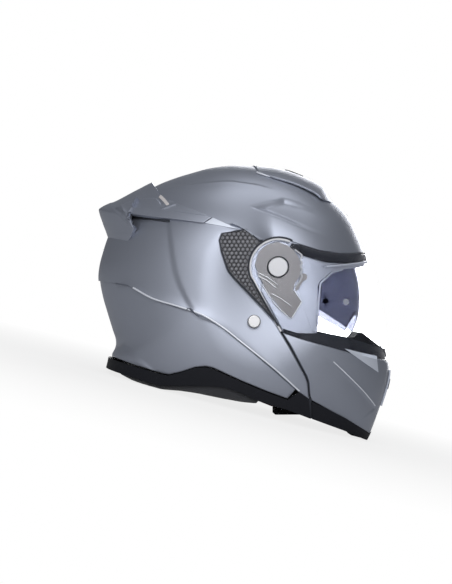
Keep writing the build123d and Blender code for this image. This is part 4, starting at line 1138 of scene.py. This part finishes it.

# %% [markdown]
# The clear visor is one bent sheet. A white strip on its rear edge all the way round the hub is a painted
# highlight for the light that the clear edge catches, and behind that a dark strip sunk into the gap to the
# grille is painted shade.

# %% Visor
visor_wall, visor_edge = 0.002, 0.0008
visor_rear = joined([(281.6, 331.6), (273.6, 318.4), (253.4, 278.6)], ring(hub, 27.8, 27, 203, 66))
visor_top = smooth([
    tuple(visor_rear[-1]), (300, 246.4), (320, 252.6), (340, 255), (354, 255), (367.4, 253.6),
])
visor_foot = smooth([
    (281.6, 331.6), (300, 337.4), (315, 341.4), (345, 348.4), (378, 355.2), (386, 356.6),
])
visor_flat = patch(
    side_edge(visor_skin, visor_foot), side_edge(visor_skin, visor_top), side_edge(visor_skin, visor_rear),
    between_rims(visor_skin, (384.4, 353.2), (367, 254.2)), shares(120), shares(96),
)
sheet = plate("visor_sheet", row_points(visor_skin, visor_flat), visor_wall, visor_edge, looks["clear_glass"])
settle(sheet, "visor", "clear_glass", "visor")
strip("visor_bevel", visor_skin, visor_rear, 1.9, 0.0004, "visor", "white_plastic", count=fine_count)
strip("visor_gap", shell_skin, [(262.6, 306), (272.4, 321), (279.6, 332)], 3.0, -0.0022, "shell", "rubber")

# %% [markdown]
# Above the visor lies the dark top seal, and under it the brow lip of the eyeport, which catches a line
# of light. Under the visor runs the rubber gasket that it lands on.

# %% Seals and brow
between("top_seal", frame_skin, [(301, 245), (320, 251), (340, 253.8), (353, 254), (368, 252.8)],
        [(300, 254.7), (313, 258.6), (326.8, 262.1), (346.9, 263.4), (370, 260.2)], 0.0022, "shell", "rubber")
strip("brow_lip", frame_skin, [(324, 267), (334, 266.2), (353.6, 264.6), (371.5, 261.6)],
      2.4, 0.0024, "shell", "paint", curve=smooth)
strip("eyeport_edge", frame_skin, [(343, 269.6), (332.2, 272.6), (320.6, 283.4), (319.6, 303), (318.6, 326)],
      1.6, 0.0014, "shell", "paint")
between("gasket_lip", shell_skin,
        [(284.4, 338.4), (300, 345), (314, 348), (345, 356), (377.7, 362.6), (392, 366)],
        [(284, 329.4), (300, 334.4), (318.1, 334.4), (346.9, 339.4), (368, 346), (392, 354)],
        0.0, "chin_bar", "rubber", inset=0.0028, wall=0.002)

# %% Gaps and borders
strip("parting_seal", shell_skin,
      [(281, 331), (290, 346.7), (306, 376.6), (308.3, 383), (309.5, 396.6), (311.4, 419)],
      3.4, -0.0052, "shell", "rubber")
strip("rivet_ring", shell_skin, ring((254.2, 321.5), 7.0), 1.7, -0.0004, "shell", "rubber", loop=True)
strip("trim_gap_filler", shell_skin, [(311.0, 399), (311.6, 408), (312.2, 420)],
      3.0, -0.003, "shell", "rubber")
# Dark strips along the grille's edge and round the hub stand for the shade in the gaps there: painted shade.
strip("grille_border", grille_skin, grille_edge, 1.5, 0.0012, "shell", "rubber", count=fine_count)
hub_border = joined([(278.6, 326), (272.2, 315.4), (252, 279.4)], ring(hub, 29.6, 25, 203, 62))
strip("hub_border", grille_skin, hub_border, 1.7, 0.0012, "shell", "rubber", count=fine_count)

# %% [markdown]
# Every crease of the paint carries a fine line of painted highlight. It is laid as a very thin rib on the
# crease in a lighter copy of the paint, because the bend alone is too soft to hold a line of light at this
# distance.

# %% Crease lines and facets
crease_run = [
    (134, 287.6), (153, 298.2), (173.8, 304.8), (194.5, 311.4), (206.9, 317), (224.4, 328.4),
    (241.5, 342), (274.6, 368.6), (299.5, 391),
]
strip("crease_line", shell_skin, crease_run, 1.5, 0.0028, "shell", "paint", "paint_highlight", smooth, count=192)
strip("chin_crease_line", shell_skin, [(334, 362), (345.8, 373), (361.8, 389), (371.3, 400), (376, 406.4)],
      1.1, 0.0004, "chin_bar", "paint", "paint_highlight", smooth)
strip("crown_line", shell_skin, [(256.4, 172.6), (268, 176.3), (293, 182.3), (313.6, 191.8), (321, 196.6)],
      1.1, 0.0016, "shell", "paint", "paint_highlight", smooth)
strip("brow_light", frame_skin, [(326, 266.4), (340, 265.2), (353.6, 263.8), (370, 261.0)],
      1.0, 0.0036, "shell", "paint", "paint_highlight", smooth)
# The chin and wedge facets are laid in a lighter copy of the paint: painted light where they face the lamps.
facet_wall = 0.0008
between("chin_facet", shell_skin, [(345.4, 348.9), (361, 360.2), (379.2, 372.8)],
        [(345.5, 348.8), (361, 352.6), (377.4, 356.2), (379.3, 372.7)], 0.0004, "chin_bar", "paint",
        "paint_lit", wall=facet_wall, skip=("left", "right"))
between("wedge_facet", shell_skin, [(204.7, 223.4), (222, 226.4), (238, 229.4)],
        [(204.8, 223.3), (213, 218), (238.1, 229.3)], 0.0018, "shell", "paint",
        "paint_lit", wall=facet_wall, skip=("left", "right"))

# %% [markdown]
# Behind the clear hub sits the visor mechanism: a cam plate with a ringed screw, a toothed rim, ribs and
# a bordered foot.

# %% Mechanism plates
cam_rings = [
    ("cam_ring", 8.7, 1.3, 0.0022, "white_plastic"),
    ("cam_ring_inner", 6.2, 1.0, 0.0026, "white_plastic"),
    ("cam_shadow", 10.4, 1.0, 0.0016, "rubber"),
]
for name, radius, width, height, look in cam_rings:
    strip(name, plate_skin, ring(hub, radius), width, height, "shell", "plate_grey", look, loop=True)
rib_width, rib_height = 1.1, 0.0014
tooth_count, tooth_pitch, tooth_flat, tooth_depth, tooth_start = 8, 3.4, 2.4, 1.2, (300.4, 255)
teeth = [(294.5, 249.5)]
for step in range(tooth_count):
    across = tooth_start[0] + tooth_depth * (step % 2 == 0)
    down = tooth_start[1] + tooth_pitch * step
    teeth += [(across, down), (across, down + tooth_flat)]
strip("cam_teeth", plate_skin, teeth + [(296, 287)], 1.5, rib_height, "shell", "plate_grey", "white_plastic")
cam_ribs = [
    ("cam_rib_upper", [(259.5, 273), (268, 277.4), (278, 284.6)]),
    ("cam_rib_lower", [(258.6, 276), (268, 281), (276.5, 288)]),
    ("cam_rib_foot", [(272, 293.5), (282, 299), (291.5, 306)]),
    ("cam_border_left", [(262, 284), (276, 305), (291, 319)]),
    ("cam_border_right", [(294.5, 290.5), (302.4, 302), (292.4, 318.4)]),
]
for name, line in cam_ribs:
    strip(name, plate_skin, line, rib_width, rib_height, "shell", "plate_grey", "steel")

# %% [markdown]
# Cushions are made the way they behave: the cut block is remeshed, held along its seams, and blown up by
# a little air with the cloth solver, so that it swells between the seams.

# %% Cushions
voxel, held_share = 0.004, 0.6
air_pressure, cloth_mass, cloth_quality, cloth_frames = 3.0, 0.2, 4, 16
ground_clearance, cushion_fill = 0.0002, 0.6


def evaluated(thing):
    """A new mesh of an object as its modifiers leave it."""
    return bpy.data.meshes.new_from_object(thing.evaluated_get(bpy.context.evaluated_depsgraph_get()))


def remeshed(node, name, cell):
    """A copy of a CAD node cut into even cells."""
    thing = merged_copy(node, name)
    block = thing.modifiers.new("block", "REMESH")
    block.mode = "VOXEL"
    block.voxel_size = cell
    mesh = evaluated(thing)
    thing.modifiers.clear()
    thing.data = mesh
    return thing


def blow_up(thing, start, cap):
    """Air pressure for a few frames, with no point moved further than the cap or below where it stood."""
    cloth = thing.modifiers.new("air", "CLOTH")
    cloth.settings.use_pressure = True
    cloth.settings.uniform_pressure_force = air_pressure
    cloth.settings.effector_weights.gravity = 0
    cloth.settings.vertex_group_mass = "held"
    cloth.settings.quality = cloth_quality
    cloth.settings.mass = cloth_mass
    cloth.point_cache.frame_start, cloth.point_cache.frame_end = 1, cloth_frames
    for frame_number in range(1, cloth_frames + 1):
        scene.frame_set(frame_number)
    move = vertex_values(evaluated(thing)) - start
    move *= np.minimum(1, cap / np.maximum(np.linalg.norm(move, axis=1, keepdims=True), tiny))
    thing.modifiers.clear()
    places = start + move
    places[:, 2] = np.maximum(places[:, 2], start[:, 2].min() + ground_clearance)
    thing.data.vertices.foreach_set("co", places.ravel())
    thing.data.update()
    scene.frame_set(1)
    print(thing.name, "largest move", round(float(np.linalg.norm(move, axis=1).max()) * 1000, 1), "mm")


def cushion(node, name, cap, seams):
    """A swollen copy of a CAD cushion: seams gives distances to a seam, and cap is the largest move."""
    thing = remeshed(node, name, voxel)
    start = vertex_values(thing.data)
    held = thing.vertex_groups.new(name="held")
    held.add(np.flatnonzero(seams(start.astype(float)) < voxel * held_share).tolist(), 1.0, "REPLACE")
    blow_up(thing, start, cap)
    smoother = thing.modifiers.new("round", "SUBSURF")
    smoother.levels = smoother.render_levels = 1
    thing.data.materials.clear()
    thing.data.materials.append(looks["lining"])
    thing.data.shade_smooth()
    settle(thing, "shell", "lining", node)


quilt_pitch, quilt_shift, quilt_side = 0.038, 0.012, 0.045
cheek_seam_heights, cheek_slant = (0.075, 0.115), 0.5
neck_middle, neck_radius, neck_step = 0.02, 0.09, 0.42


def to_seam(values, pitch):
    """Distance to the nearest of evenly spaced seams, one of them at 0."""
    return np.abs((values + pitch / 2) % pitch - pitch / 2)


def crown_seams(places):
    """Quilting: one seam along the middle, one along each side, and cross seams."""
    across = np.abs(places[:, 1])
    along = to_seam(places[:, 0] + quilt_shift, quilt_pitch)
    return np.minimum(np.minimum(across, np.abs(across - quilt_side)), along)


def cheek_seams(places):
    """Two slanting seams across the cheek."""
    slant = places[:, 0] * cheek_slant + places[:, 2]
    return np.minimum(*(np.abs(slant - height) for height in cheek_seam_heights))


def neck_seams(places):
    """Cross seams at even turns round the neck."""
    return to_seam(np.arctan2(places[:, 1], places[:, 0] - neck_middle), neck_step) * neck_radius


cushion("crown_pad", "crown_cushion", 0.0022, crown_seams)
cushion("cheek_pad_right", "cheek_cushion_right", 0.0025, cheek_seams)
cushion("cheek_pad_left", "cheek_cushion_left", 0.0025, cheek_seams)
cushion("neck_roll", "neck_cushion", 0.0025, neck_seams)

# %% [markdown]
# The top vent cover rides on the crown: a low shield with its own profile, a rolled near edge, and a
# step down at the front. The slider sits in its notch.

# %% Top vent
cover_crown = [
    (258, 167.6), (270, 168.6), (282, 171), (301, 177.4), (319.6, 186.6), (323, 190.4), (327.4, 198.6),
    (334, 205),
]
cover_profile_pixels = [
    spot for spot in shell_profile_pixels if not (250 < spot[0] < 332 and spot[1] < 203)] + cover_crown
cover_skin = Skin(polar_profile(cover_profile_pixels), half_width, temples=True)
cover_side = [(256, 168.4), (262, 174), (293, 183.4), (313.6, 192.6), (322, 199), (331, 203)]
cover_lift, cover_wall, cover_edge = 0.0012, 0.002, 0.0008
cover_rim = between_rims(cover_skin, (252, 167), (333, 204))
cover_flat = ruled(side_edge(cover_skin, cover_side, smooth), cover_rim, shares(96), shares(48))
cover = plate("vent_cover", row_points(cover_skin, cover_flat, lift=even(cover_lift)), cover_wall, cover_edge,
              looks["paint"])
settle(cover, "shell", "paint", "top_vent_housing")

# %% [markdown]
# Straps are woven, not blown up: each is the cut strip remeshed finely, and its yarns are raised as small
# heights in rows, so that the weave has a real edge. The ribbon tab is made the same way.

# %% Webbing
def woven(node, name, body, slot, cell, height, pitch):
    """A woven copy of a CAD strip: height * (row wave * cross wave - 1) along the normal, in metres."""
    thing = remeshed(node, name, cell)
    places, normals = vertex_values(thing.data), vertex_values(thing.data, "normal")
    along = places[:, 0] + places[:, 2]
    wave = np.sin(2 * np.pi * along / pitch) * np.cos(2 * np.pi * places[:, 1] / pitch)
    places += normals * (height * (wave - 1))[:, None]
    thing.data.vertices.foreach_set("co", places.ravel())
    thing.data.materials.clear()
    thing.data.materials.append(looks[slot])
    thing.data.shade_smooth()
    print(name, len(thing.data.polygons), "faces")
    return settle(thing, body, slot, node)


for side in ("right", "left"):
    woven(f"chin_strap_{side}", f"strap_webbing_{side}", "shell", "webbing", 0.0008, 0.00018, 0.0032)
woven("lever_tab", "ribbon_tab", "buckle_lever", "red_ribbon", 0.0004, 0.00008, 0.0014)
